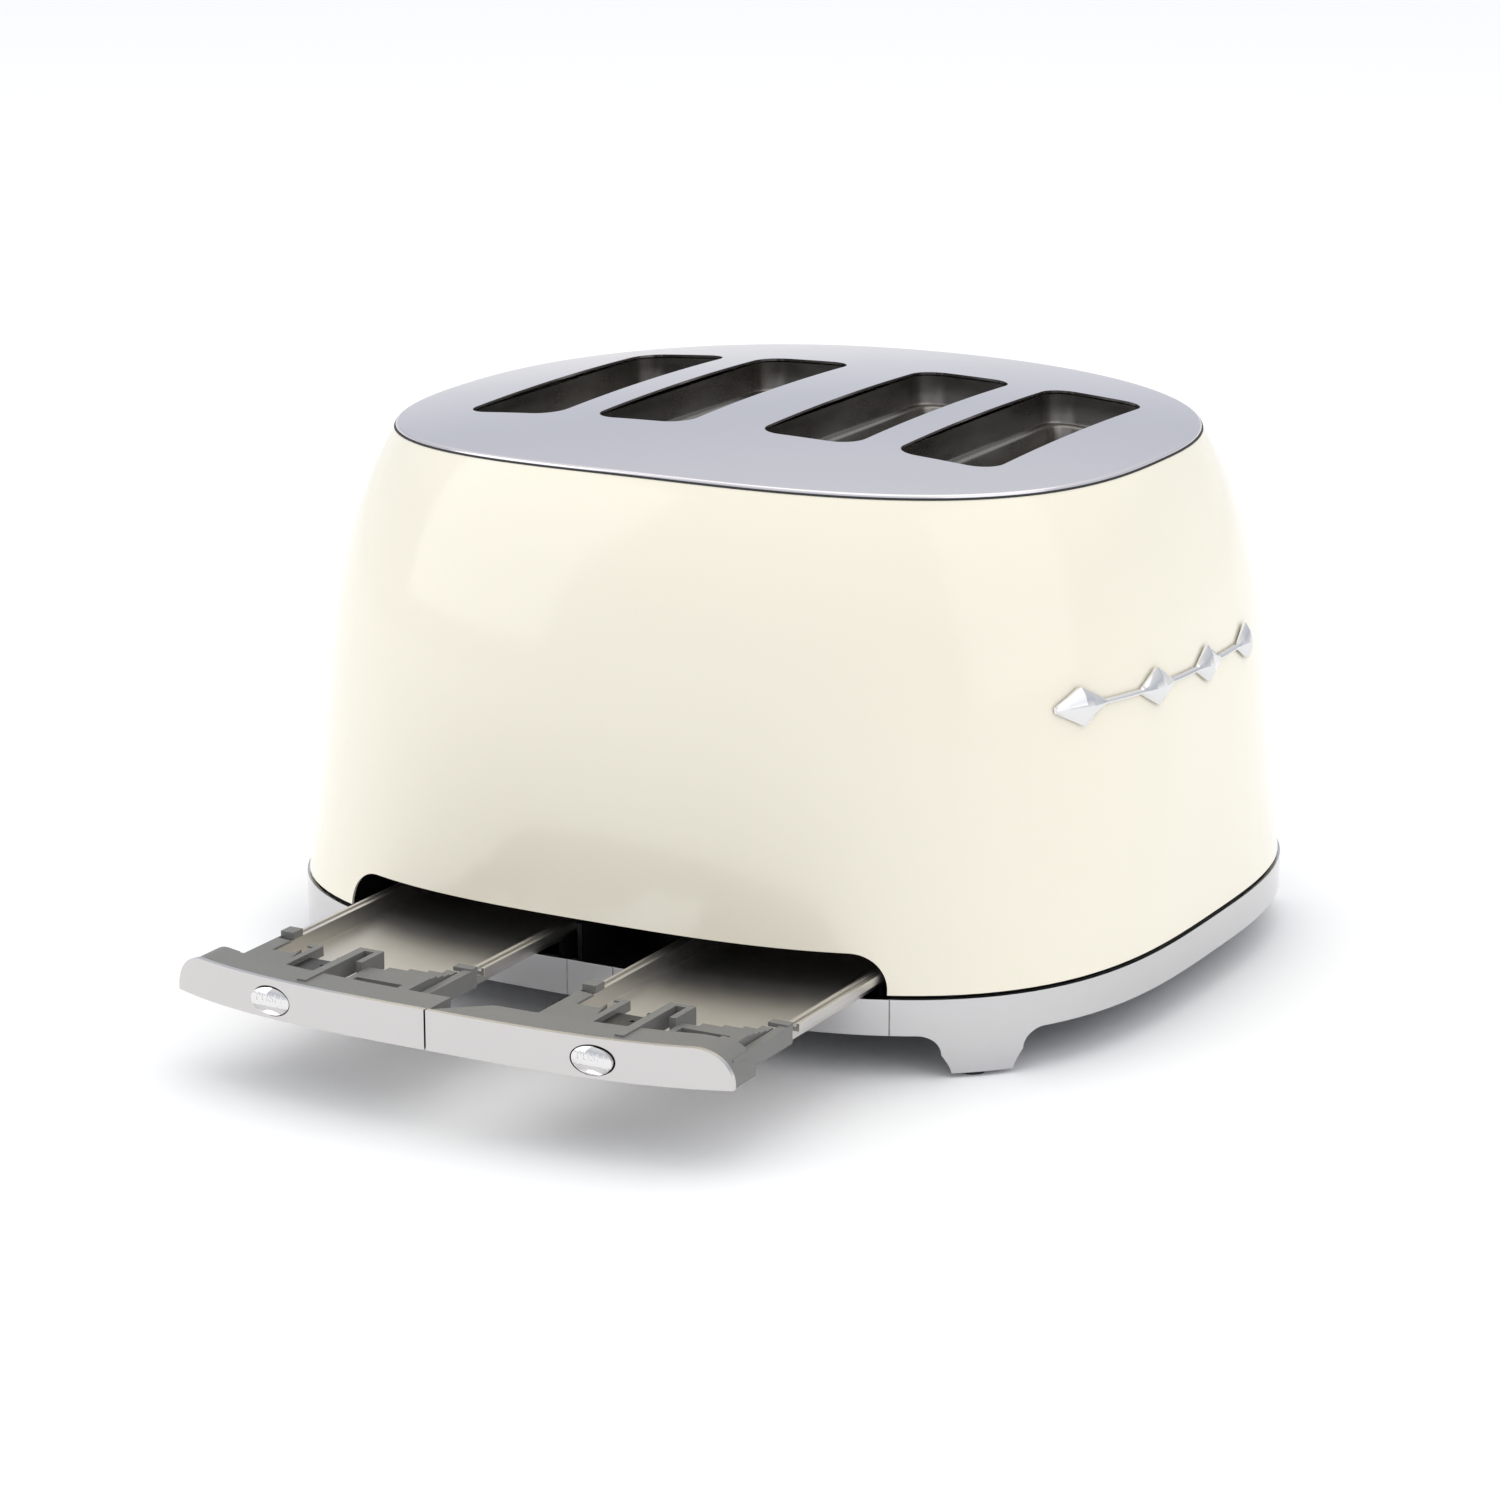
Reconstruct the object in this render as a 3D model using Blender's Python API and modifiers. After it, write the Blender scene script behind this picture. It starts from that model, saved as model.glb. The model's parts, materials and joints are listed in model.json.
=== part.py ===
"""Four-slot pop-up toaster with two crumb trays drawn out: one named object for each piece.

Metres, +Z up. The control side (levers and knobs) faces +Y and the crumb-tray side faces -Y.
The body's own centre line stands at BODY_Y, so that the world origin is the bottom centre of
the whole object with its trays drawn out.
"""

import math

import bmesh
import bpy
from mathutils import Matrix, Vector

# ---------------------------------------------------------------- driving dimensions

# Overall body
CROWN_Z = 0.208            # highest point of the top plate
BASE_HALF_X = 0.1733       # half width of the shell at its foot
BASE_HALF_Y = 0.1568       # half depth of the shell at its foot
BASE_POWER = 3.09          # roundness of the plan at the foot (2 is an ellipse)
RIM_HALF_X = 0.1476        # half width of the top plate
RIM_HALF_Y = 0.1300
RIM_POWER = 2.51           # roundness of the plan at the rim
PLAN_POWER = 4.8           # how fast the plan's roundness goes from foot to rim
WALL_POWER = 3.6           # how high the walls stay upright before the shoulder
SHOULDER_POWER = 0.935
DOME_DROP_X = 0.0088       # fall of the top plate from its crown to the middle of a side edge
DOME_DROP_Y = 0.0048       # fall from its crown to the middle of the front edge
AROUND = 48                # points in one ring of the plan

# Base ring, feet and floor
RING_TOP_Z = 0.0290
RING_BOTTOM_Z = 0.0157
RING_PROUD = 0.0008        # the ring stands this far outside the shell's foot
RING_WALL = 0.0026
LEG_HALF_GAP_X = 0.1315    # half distance between two legs at the floor, along X
LEG_HALF_GAP_Y = 0.1165
LEG_FLARE = 0.0025         # each leg widens this much towards the ring
LEG_ROUND = 0.0065         # radius where a leg meets the ring
LEG_DEEP = 0.0110
PAD_TALL = 0.0014
PAD_RADIUS = 0.0045
FLOOR_WALL = 0.0018
FLOOR_Z = 0.0168           # underside of the bottom cover

# Shell and gasket
SHELL_WALL = 0.0012
SHELL_FOOT_Z = 0.0305
RIM_GAP = 0.0012           # shell's edge below the top plate's upper face
GASKET_INSET = 0.0014
GASKET_WIDE = 0.0030
GASKET_TALL = 0.0009

# Top plate and bread slots
PLATE_WALL = 0.0012
SLOT_INNER_X = 0.0348      # centre of the two inner slots from the middle plane
SLOT_OUTER_X = 0.0902      # centre of the two outer slots
SLOT_Y = 0.0070            # the slots' middle, towards the control side
SLOT_LONG = 0.1370
SLOT_WIDE = 0.0400
SLOT_ROUND = 0.0100
LINER_WALL = 0.0007
LINER_DEEP = 0.0200        # how far a slot's throat hangs below the liner sheet
LINER_DROP = 0.0215         # liner sheet below the crown
LINER_SHEET_HALF_X = 0.1270
LINER_SHEET_HALF_Y = 0.0810

# Toasting chamber
CHAMBER_WALL = 0.0008
CHAMBER_HALF_Y = 0.0780
CHAMBER_BOTTOM_Z = 0.0470
FOOT_STRIP_Y = 0.0600      # middle of each strip that the chamber stands on
HEATER_WALL = 0.0012
HEATER_LONG = 0.1520
HEATER_BOTTOM_Z = 0.0560
HEATER_DROP = 0.0020        # top of the heater boards below the top of the grids
HEATER_TURNS = 7
GRID_OFFSET = 0.0165       # wire grid from the centre of its slot, with the lever up
GRID_TRAVEL = 0.0060       # how far each grid closes on the bread, lever down
GRID_WIRE = 0.0016
GRID_LONG = 0.1240
GRID_BOTTOM_Z = 0.0540
GRID_DROP = 0.0045          # top of the grids below the throats
GRID_UPRIGHTS = 7

# Bread lift
LIFT_TRAVEL = 0.0600
LIFTER_Z = 0.1150          # top of the bread lifters, lever up
LIFTER_WALL = 0.0012
LIFTER_WIDE = 0.0120
LIFTER_LONG = 0.1240
ROD_RADIUS = 0.0025
ROD_Y = 0.0950
ROD_CLEAR = 0.0002
CARRIAGE_WALL = 0.0020
CARRIAGE_GAP = 0.0030      # carriage plate behind the chamber's wall
CARRIAGE_BAR_TALL = 0.0120
HUB_DROP = 0.0385           # underside of the carriage's hub below the liner sheet
HUB_TALL = 0.0180
HUB_HALF_X = 0.0085
HUB_DEEP_Y = 0.0085        # hub's reach past the rod's axis
LEVER_ARM_WIDE = 0.0034
LEVER_ARM_TALL = 0.0070
LEVER_SLOT_CLEAR = 0.0018
LEVER_BALL_RADIUS = 0.0105
LEVER_BALL_OUT = 0.0180    # ball's centre outside the shell at the lever's height
SPRING_TURNS = 8
SPRING_RADIUS = 0.0050
SPRING_WIRE = 0.0006
MAGNET_X = 0.0220          # magnet's middle from the rod's axis
MAGNET_HALF_X = 0.0080
MAGNET_HALF_Y = 0.0065

# Controls on the control side
KNOB_Z = 0.0660
KNOB_RADIUS = 0.0165
KNOB_DEEP = 0.0130
KNOB_STAND = 0.0036        # knob's back face from the shell, clear of the shell's curve
KNOB_SHAFT_RADIUS = 0.0030
KNOB_SHAFT_LONG = 0.0400
BUTTON_X = 0.0225          # middle of the button column from the middle plane
BUTTON_Z = (0.0500, 0.0660, 0.0820)
BUTTON_RADIUS = 0.0050
BUTTON_DEEP = 0.0280
BUTTON_COLLAR = 0.0015     # collar inside the shell that keeps a button in
BUTTON_OUT = 0.0030
BUTTON_TRAVEL = 0.0020
HOLE_CLEAR = 0.0005
BOARD_Y = 0.1270
BOARD_WALL = 0.0016
BOARD_HALF_X = 0.0900
BOARD_BOTTOM_Z = 0.0400
BOARD_TOP_Z = 0.0900

# Crumb trays
TRAY_OUT = 0.1100          # how far both trays are drawn out
TRAY_HALF_OPENING = 0.1113 # half width of the shell's tray opening
TRAY_OPENING_TOP_Z = 0.0445
TRAY_CORNER = 0.0135       # radius of the opening's upper corners
TRAY_CLEAR = 0.0005
TRAY_FRONT_WALL = 0.0020
TRAY_BEAM_DEEP = 0.0140    # depth of the grey frame's beam behind the chrome front
TRAY_WEDGE_X = 0.0170      # the right-hand beam grows to its full depth over this width
TRAY_SHIFT = 0.0050        # both pans stand this far to the right of their slot pair
TRAY_FLOOR_Z = 0.0303
TRAY_LOW_Z = 0.0297        # underside of the tray's front and frame
TRAY_ARM_TALL = 0.0078
TRAY_ARM_BACK = 0.0600     # arm's back end behind the middle of the tray front
BRIDGE_DEEP = 0.0120       # how far the frame's bridge reaches over the pan
RIB_PLACES = (-0.0130, -0.0060, 0.0070)
RIB_WALL = 0.0030
PAN_HALF_X = 0.0370
PAN_WALL = 0.0007
PAN_TALL = 0.0070
PAN_BACK = 0.2340          # pan's back end behind the middle of the tray front
RAIL_WIDE = 0.0038         # flange along each long side of the pan
RAIL_TALL = 0.0030
GUIDE_CLEAR = 0.0020       # from the shut tray's beam to the start of the rails and guides
GUIDE_WALL = 0.0018
PUSH_X = 0.0640            # button from the middle plane
PUSH_HALF_X = 0.0088
PUSH_HALF_Z = 0.0052
PUSH_DEEP = 0.0040
PUSH_Z = 0.0362

# Badge and cord outlet
BADGE_Z = 0.1262
BADGE_Y = -0.0247          # the row's middle, towards the tray side
BADGE_PITCH = 0.0385
BADGE_COUNT = 4
BADGE_TALL = 0.0140
BADGE_LONG = 0.0200
BADGE_STRIP_TALL = 0.0022
BADGE_OUT = 0.0032
GLAND_RADIUS = 0.0065
GLAND_LONG = 0.0100

SKIN = 0.0003              # gap kept between pieces that touch

# Colour, roughness and metallic value of each finish
FINISHES = {
    "cream": ((0.86, 0.80, 0.64), 0.22, 0.0),
    "chrome": ((0.80, 0.80, 0.82), 0.08, 1.0),
    "brushed": ((0.62, 0.61, 0.60), 0.35, 1.0),
    "steel": ((0.50, 0.50, 0.50), 0.40, 1.0),
    "dark_steel": ((0.16, 0.15, 0.14), 0.45, 1.0),
    "black": ((0.03, 0.03, 0.03), 0.50, 0.0),
    "rubber": ((0.05, 0.05, 0.05), 0.80, 0.0),
    "grey": ((0.30, 0.30, 0.29), 0.55, 0.0),
    "mica": ((0.60, 0.52, 0.38), 0.60, 0.0),
    "copper": ((0.60, 0.30, 0.14), 0.40, 1.0),
    "green": ((0.05, 0.22, 0.10), 0.50, 0.0),
}

# ---------------------------------------------------------------- values that follow

PAIR_X = (SLOT_INNER_X + SLOT_OUTER_X) / 2
SIDES = {"left": -1, "right": 1}
SLOT_CENTRES = (-SLOT_OUTER_X, -SLOT_INNER_X, SLOT_INNER_X, SLOT_OUTER_X)
HEATER_OFFSET = (SLOT_OUTER_X - SLOT_INNER_X) / 2     # heater board from its slot's centre
CHAMBER_HALF_X = SLOT_OUTER_X + HEATER_OFFSET + 0.0080
LINER_SHEET_Z = CROWN_Z - LINER_DROP
GRID_TOP_Z = LINER_SHEET_Z - LINER_DEEP - GRID_DROP
HEATER_TOP_Z = GRID_TOP_Z - HEATER_DROP
HUB_BOTTOM_Z = LINER_SHEET_Z - HUB_DROP
LEVER_Z = HUB_BOTTOM_Z + HUB_TALL / 2
CHAMBER_TOP_Z = LINER_SHEET_Z - SKIN
CARRIAGE_Y = CHAMBER_HALF_Y + CARRIAGE_GAP
FLOOR_TOP_Z = FLOOR_Z + FLOOR_WALL
ROD_BOSS_TOP_Z = CHAMBER_BOTTOM_Z - 0.0015
ROD_TOP_Z = CHAMBER_TOP_Z - 0.0040
LUG_Z = HUB_BOTTOM_Z + HUB_TALL + SKIN     # underside of the lug that stops the hub


def superellipse(half_x, half_y, power, count=AROUND):
    """Points of a rounded-square plan, evenly spread in angle, anticlockwise from +X."""
    points = []
    for i in range(count):
        angle = 2 * math.pi * i / count
        c, s = math.cos(angle), math.sin(angle)
        radius = (abs(c / half_x) ** power + abs(s / half_y) ** power) ** (-1 / power)
        points.append((radius * c, radius * s))
    return points


def dome_z(x, y):
    """Upper face of the top plate."""
    return CROWN_Z - DOME_DROP_X * (x / RIM_HALF_X) ** 2 - DOME_DROP_Y * (y / RIM_HALF_Y) ** 2


def shell_plan(level):
    """Half width, half depth and power of the shell's plan, from its foot (0) to its rim (1)."""
    share = (1 - min(1.0, level) ** WALL_POWER) ** SHOULDER_POWER
    half_x = RIM_HALF_X + (BASE_HALF_X - RIM_HALF_X) * share
    half_y = RIM_HALF_Y + (BASE_HALF_Y - RIM_HALF_Y) * share
    return half_x, half_y, RIM_POWER + (BASE_POWER - RIM_POWER) * (1 - level) ** PLAN_POWER


def shell_ring(level):
    """One ring of the shell: its top edge follows the dome of the top plate."""
    rim = superellipse(RIM_HALF_X, RIM_HALF_Y, RIM_POWER)
    ring = []
    for (x, y), (rim_x, rim_y) in zip(superellipse(*shell_plan(level)), rim):
        top = dome_z(rim_x, rim_y) - RIM_GAP
        ring.append((x, y, SHELL_FOOT_Z + (top - SHELL_FOOT_Z) * level))
    return ring


def shell_y(x, z):
    """Distance of the shell's outer face from the middle plane, along Y, at x and z."""
    level = (z - SHELL_FOOT_Z) / (CROWN_Z - RIM_GAP - SHELL_FOOT_Z)
    half_x, half_y, power = shell_plan(min(1.0, max(0.0, level)))
    return half_y * (1 - abs(x / half_x) ** power) ** (1 / power)


def shell_x(y, z):
    """Distance of the shell's outer face from the middle plane, along X, at y and z."""
    level = (z - SHELL_FOOT_Z) / (CROWN_Z - RIM_GAP - SHELL_FOOT_Z)
    half_x, half_y, power = shell_plan(min(1.0, max(0.0, level)))
    return half_x * (1 - abs(y / half_y) ** power) ** (1 / power)


BALL_Y = shell_y(PAIR_X, LEVER_Z) + LEVER_BALL_OUT
FRONT_Y = -BASE_HALF_Y - TRAY_OUT
BODY_Y = -(FRONT_Y + BALL_Y + LEVER_BALL_RADIUS) / 2

# ---------------------------------------------------------------- modelling helpers


def clear_scene():
    for old in list(bpy.data.objects):
        bpy.data.objects.remove(old)


def new_collection(name):
    made = bpy.data.collections.new(name)
    bpy.context.scene.collection.children.link(made)
    return made


def own_material(name, finish):
    """A piece's own material, in one of the finishes named above."""
    colour, roughness, metallic = FINISHES[finish]
    made = bpy.data.materials.new(name)
    made.use_nodes = True
    shader = made.node_tree.nodes["Principled BSDF"]
    shader.inputs["Base Color"].default_value = (*colour, 1)
    shader.inputs["Roughness"].default_value = roughness
    shader.inputs["Metallic"].default_value = metallic
    return made


def new_empty(name, location, parent=None):
    made = bpy.data.objects.new(name, None)
    made.location = location
    made.parent = parent
    PARTS.objects.link(made)
    return made


def piece_from(bm, name, finish=None, parent=None, location=(0, 0, 0)):
    """A mesh object whose faces point out; one without a finish is a cutter."""
    bmesh.ops.recalc_face_normals(bm, faces=bm.faces)
    mesh = bpy.data.meshes.new(name)
    bm.to_mesh(mesh)
    bm.free()
    made = bpy.data.objects.new(name, mesh)
    made.location = location
    made.parent = parent
    if finish is None:
        made.display_type = "WIRE"
        made.hide_render = True
        CUTTERS.objects.link(made)
    else:
        mesh.materials.append(own_material(name, finish))
        PARTS.objects.link(made)
    return made


def box(name, low, high, **placing):
    bm = bmesh.new()
    size = [b - a for a, b in zip(low, high)]
    middle = [(a + b) / 2 for a, b in zip(low, high)]
    place = Matrix.Translation(middle) @ Matrix.Diagonal((*size, 1))
    bmesh.ops.create_cube(bm, size=1, matrix=place)
    return piece_from(bm, name, **placing)


def rod(name, start, axis, length, radius, end_radius=None, segments=16, **placing):
    """A cylinder or cone from start, along axis."""
    bm = bmesh.new()
    axis = Vector(axis)
    turn = axis.to_track_quat("Z", "Y").to_matrix().to_4x4()
    place = Matrix.Translation(Vector(start) + axis * length / 2) @ turn
    bmesh.ops.create_cone(
        bm, cap_ends=True, segments=segments, radius1=radius, depth=length, matrix=place,
        radius2=radius if end_radius is None else end_radius,
    )
    return piece_from(bm, name, **placing)


def loft(bm, rings, close_ends=True):
    """Skins a list of rings with equal point counts."""
    made = [[bm.verts.new(point) for point in ring] for ring in rings]
    for lower, upper in zip(made, made[1:]):
        for i in range(len(lower)):
            j = (i + 1) % len(lower)
            bm.faces.new((lower[i], lower[j], upper[j], upper[i]))
    if close_ends:
        bm.faces.new(made[0])
        bm.faces.new(made[-1])


def prism(name, outline, low, high, normal="Z", **placing):
    """A flat outline, drawn as a filled 2D curve, made a solid from low to high along normal."""
    curve = bpy.data.curves.new(name, "CURVE")
    curve.dimensions = "2D"
    curve.fill_mode = "BOTH"
    curve.extrude = (high - low) / 2
    spline = curve.splines.new("POLY")
    spline.points.add(len(outline) - 1)
    for point, (u, v) in zip(spline.points, outline):
        point.co = (u, v, 0, 1)
    spline.use_cyclic_u = True
    drawn = bpy.data.objects.new(name, curve)
    PARTS.objects.link(drawn)
    bpy.context.view_layer.update()
    mesh = bpy.data.meshes.new_from_object(drawn.evaluated_get(bpy.context.evaluated_depsgraph_get()))
    bpy.data.objects.remove(drawn)
    bm = bmesh.new()
    bm.from_mesh(mesh)
    bpy.data.meshes.remove(mesh)
    bmesh.ops.remove_doubles(bm, verts=bm.verts, dist=1e-6)
    middle = (low + high) / 2
    frames = {
        "Z": Matrix(((1, 0, 0, 0), (0, 1, 0, 0), (0, 0, 1, middle), (0, 0, 0, 1))),
        "Y": Matrix(((1, 0, 0, 0), (0, 0, 1, middle), (0, 1, 0, 0), (0, 0, 0, 1))),
        "X": Matrix(((0, 0, 1, middle), (1, 0, 0, 0), (0, 1, 0, 0), (0, 0, 0, 1))),
    }
    bmesh.ops.transform(bm, matrix=frames[normal], verts=bm.verts)
    return piece_from(bm, name, **placing)


def rounded_rectangle(half_u, half_v, radius, middle=(0, 0), steps=5):
    points = []
    for corner, (su, sv) in enumerate(((1, 1), (-1, 1), (-1, -1), (1, -1))):
        for step in range(steps + 1):
            angle = math.pi / 2 * (corner + step / steps)
            u = su * (half_u - radius) + radius * math.cos(angle)
            v = sv * (half_v - radius) + radius * math.sin(angle)
            points.append((middle[0] + u, middle[1] + v))
    return points


def combine(target, other, operation):
    modifier = target.modifiers.new(f"{operation.lower()} {other.name}", "BOOLEAN")
    modifier.operation = operation
    modifier.object = other
    modifier.solver = "EXACT"
    return target


def cut(target, *cutters):
    for cutter in cutters:
        combine(target, cutter, "DIFFERENCE")
    return target


def join(target, *others):
    for other in others:
        combine(target, other, "UNION")
    return target


def keep(target, other):
    return combine(target, other, "INTERSECT")


def smooth(*pieces):
    for piece in pieces:
        piece.data.shade_smooth()
        piece.data.set_sharp_from_angle(angle=math.radians(35))


# ---------------------------------------------------------------- base


def make_base(toaster):
    """The chrome ring with its four legs, the rubber pads and the bottom cover."""
    half_x, half_y = BASE_HALF_X + RING_PROUD, BASE_HALF_Y + RING_PROUD

    def wall(name, inset, low, high, **placing):
        bm = bmesh.new()
        plan = superellipse(half_x - inset, half_y - inset, BASE_POWER)
        loft(bm, [[(x, y, z) for x, y in plan] for z in (low, high)])
        return piece_from(bm, name, **placing)

    ring = wall("base_ring", 0, PAD_TALL + SKIN, RING_TOP_Z, finish="chrome", parent=toaster)
    cut(
        ring,
        wall("ring_bore", RING_WALL, RING_BOTTOM_Z, RING_TOP_Z + 0.01, parent=toaster),
        wall("leg_bore", LEG_DEEP, -0.01, RING_BOTTOM_Z + 0.0010, parent=toaster),
    )
    reach = 0.3

    def leg_gap(half_gap):
        """Outline of the opening between two legs: it narrows upwards and its corners are round."""
        outline = [(-half_gap, -0.01), (half_gap, -0.01)]
        for side in (1, -1):
            corner = []
            for step in range(5):
                angle = math.pi / 2 * step / 4
                u = half_gap - LEG_FLARE - LEG_ROUND * (1 - math.cos(angle))
                corner.append((side * u, RING_BOTTOM_Z - LEG_ROUND * (1 - math.sin(angle))))
            outline += corner if side == 1 else corner[::-1]
        return outline

    cut(
        ring,
        prism("leg_gap_front", leg_gap(LEG_HALF_GAP_X), -reach, reach, "Y", parent=toaster),
        prism("leg_gap_side", leg_gap(LEG_HALF_GAP_Y), -reach, reach, "X", parent=toaster),
    )
    smooth(ring)

    corner_share = 2 ** (-1 / BASE_POWER)
    feet = []
    for end, sy in (("control_end", 1), ("tray_end", -1)):
        for side, sx in SIDES.items():
            x = sx * (half_x - LEG_DEEP / 2) * corner_share
            y = sy * (half_y - LEG_DEEP / 2) * corner_share
            feet.append(rod(
                f"foot_pad_{end}_{side}", (0, 0, 0), (0, 0, 1), PAD_TALL, PAD_RADIUS,
                segments=12, finish="rubber", parent=toaster, location=(x, y, 0),
            ))
    smooth(*feet)

    cover = wall(
        "bottom_cover", RING_WALL + SKIN, FLOOR_Z, FLOOR_TOP_Z, finish="black", parent=toaster
    )
    for side, sx in SIDES.items():
        for edge, se in (("outer", 1), ("inner", -1)):
            tray_x = sx * PAIR_X + TRAY_SHIFT
            under = tray_x + se * (PAN_HALF_X - 0.0030)
            beside = tray_x + se * (PAN_HALF_X + RAIL_WIDE + SKIN + GUIDE_WALL / 2)
            for use, x, top in (
                ("rail", under, TRAY_FLOOR_Z - SKIN), ("guide", beside, TRAY_FLOOR_Z + 0.0060)
            ):
                start = beam_end(x) + TRAY_OUT + GUIDE_CLEAR
                join(cover, box(
                    f"tray_{use}_{side}_{edge}", (x - GUIDE_WALL / 2, start, FLOOR_Z + 0.0004),
                    (x + GUIDE_WALL / 2, CHAMBER_HALF_Y, top), parent=toaster,
                ))
        join(cover, rod(
            f"rod_boss_{side}", (sx * PAIR_X, ROD_Y, FLOOR_Z + 0.0004), (0, 0, 1),
            ROD_BOSS_TOP_Z - FLOOR_Z - 0.0004, SPRING_RADIUS + 0.0010, parent=toaster,
        ))
        cut(cover, rod(
            f"rod_socket_{side}", (sx * PAIR_X, ROD_Y, FLOOR_TOP_Z + 0.0100), (0, 0, 1), 0.05,
            ROD_RADIUS + ROD_CLEAR, parent=toaster,
        ))
    for i in range(5):
        for sx in (-1, 1):
            x = sx * (0.012 + 0.011 * i)
            cut(cover, box(
                f"vent_{i}_{sx}", (x - 0.0020, 0.0880, FLOOR_Z - 0.01),
                (x + 0.0020, 0.1250, FLOOR_Z + 0.0040), parent=toaster,
            ) if abs(abs(x) - PAIR_X) > 0.012 else box(
                f"vent_{i}_{sx}", (x - 0.0020, 0.1080, FLOOR_Z - 0.01),
                (x + 0.0020, 0.1250, FLOOR_Z + 0.0040), parent=toaster,
            ))
    return cover


def make_cord_gland(cover, toaster):
    """The bushing in the bottom cover that the supply cord would come out of."""
    gland_y = BASE_HALF_Y - 0.0280
    hole = rod(
        "gland_hole", (0, gland_y, FLOOR_Z - 0.01), (0, 0, 1), 0.03, GLAND_RADIUS + SKIN,
        parent=toaster,
    )
    cut(cover, hole)
    gland = rod(
        "cord_gland", (0, 0, FLOOR_Z - 0.0040), (0, 0, 1), GLAND_LONG, GLAND_RADIUS,
        finish="black", parent=toaster, location=(0, gland_y, 0),
    )
    flange = rod(
        "gland_flange", (0, 0, FLOOR_TOP_Z + SKIN), (0, 0, 1), 0.0025, GLAND_RADIUS + 0.0030,
        parent=toaster, location=(0, gland_y, 0),
    )
    join(gland, flange)
    cut(gland, rod(
        "gland_bore", (0, 0, 0), (0, 0, 1), 0.05, GLAND_RADIUS - 0.0025, parent=toaster,
        location=(0, gland_y, 0),
    ))
    smooth(gland)


# ---------------------------------------------------------------- shell and top


def tray_opening(shrink=0.0):
    """Outline of the tray opening in X and Z: a low arch with round upper corners."""
    half, top, radius = (
        TRAY_HALF_OPENING - shrink, TRAY_OPENING_TOP_Z - shrink, TRAY_CORNER - shrink
    )
    outline = [(-half, 0.0), (half, 0.0)]
    for side in (1, -1):
        corner = []
        for step in range(7):
            angle = math.pi / 2 * step / 6
            u = half - radius * (1 - math.cos(angle))
            corner.append((side * u, top - radius * (1 - math.sin(angle))))
        outline += corner if side == 1 else corner[::-1]
    return outline


def make_shell(toaster):
    """The lacquered steel shell, open below and above, and the gasket that it stands on."""
    levels = (0, 0.22, 0.42, 0.58, 0.7, 0.79, 0.86, 0.92, 0.965, 1)
    bm = bmesh.new()
    loft(bm, [shell_ring(level) for level in levels], close_ends=False)
    shell = piece_from(bm, "shell", finish="cream", parent=toaster)
    solidify = shell.modifiers.new("sheet steel", "SOLIDIFY")
    solidify.thickness = SHELL_WALL
    solidify.offset = -1
    solidify.use_even_offset = True
    cut(shell, prism("tray_opening", tray_opening(), -0.3, -0.05, "Y", parent=toaster))
    slot_half_x = LEVER_ARM_WIDE / 2 + LEVER_SLOT_CLEAR
    slot_low = LEVER_Z - LIFT_TRAVEL - LEVER_ARM_TALL / 2 - LEVER_SLOT_CLEAR
    slot_high = LEVER_Z + LEVER_ARM_TALL / 2 + LEVER_SLOT_CLEAR
    for side, sx in SIDES.items():
        outline = rounded_rectangle(
            slot_half_x, (slot_high - slot_low) / 2, slot_half_x * 0.98,
            (sx * PAIR_X, (slot_high + slot_low) / 2), 3,
        )
        cut(shell, prism(f"lever_slot_{side}", outline, 0.1, 0.2, "Y", parent=toaster))
        cut(shell, rod(
            f"knob_hole_{side}", (sx * PAIR_X, 0.1, KNOB_Z), (0, 1, 0), 0.1,
            KNOB_SHAFT_RADIUS + HOLE_CLEAR, segments=12, parent=toaster,
        ))
        for i, z in enumerate(BUTTON_Z):
            cut(shell, rod(
                f"button_hole_{side}_{i}", (sx * BUTTON_X, 0.1, z), (0, 1, 0), 0.1,
                BUTTON_RADIUS + HOLE_CLEAR, segments=16, parent=toaster,
            ))
    smooth(shell)

    low = RING_TOP_Z + SKIN
    high = min(low + GASKET_TALL, SHELL_FOOT_Z - SKIN)
    plan = superellipse(BASE_HALF_X - GASKET_INSET, BASE_HALF_Y - GASKET_INSET, BASE_POWER)
    inner = superellipse(
        BASE_HALF_X - GASKET_INSET - GASKET_WIDE, BASE_HALF_Y - GASKET_INSET - GASKET_WIDE,
        BASE_POWER,
    )
    bm = bmesh.new()
    loft(bm, [[(x, y, z) for x, y in plan] for z in (low, high)])
    gasket = piece_from(bm, "shell_gasket", finish="black", parent=toaster)
    bm = bmesh.new()
    loft(bm, [[(x, y, z) for x, y in inner] for z in (low - 0.01, high + 0.01)])
    cut(gasket, piece_from(bm, "gasket_bore", parent=toaster))
    cut(gasket, prism("gasket_gap", tray_opening(-TRAY_CLEAR), -0.3, -0.05, "Y", parent=toaster))
    return shell


def slot_outline(x, grow=0.0):
    return rounded_rectangle(
        SLOT_WIDE / 2 + grow, SLOT_LONG / 2 + grow, SLOT_ROUND + grow, (x, SLOT_Y), 3
    )


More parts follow.
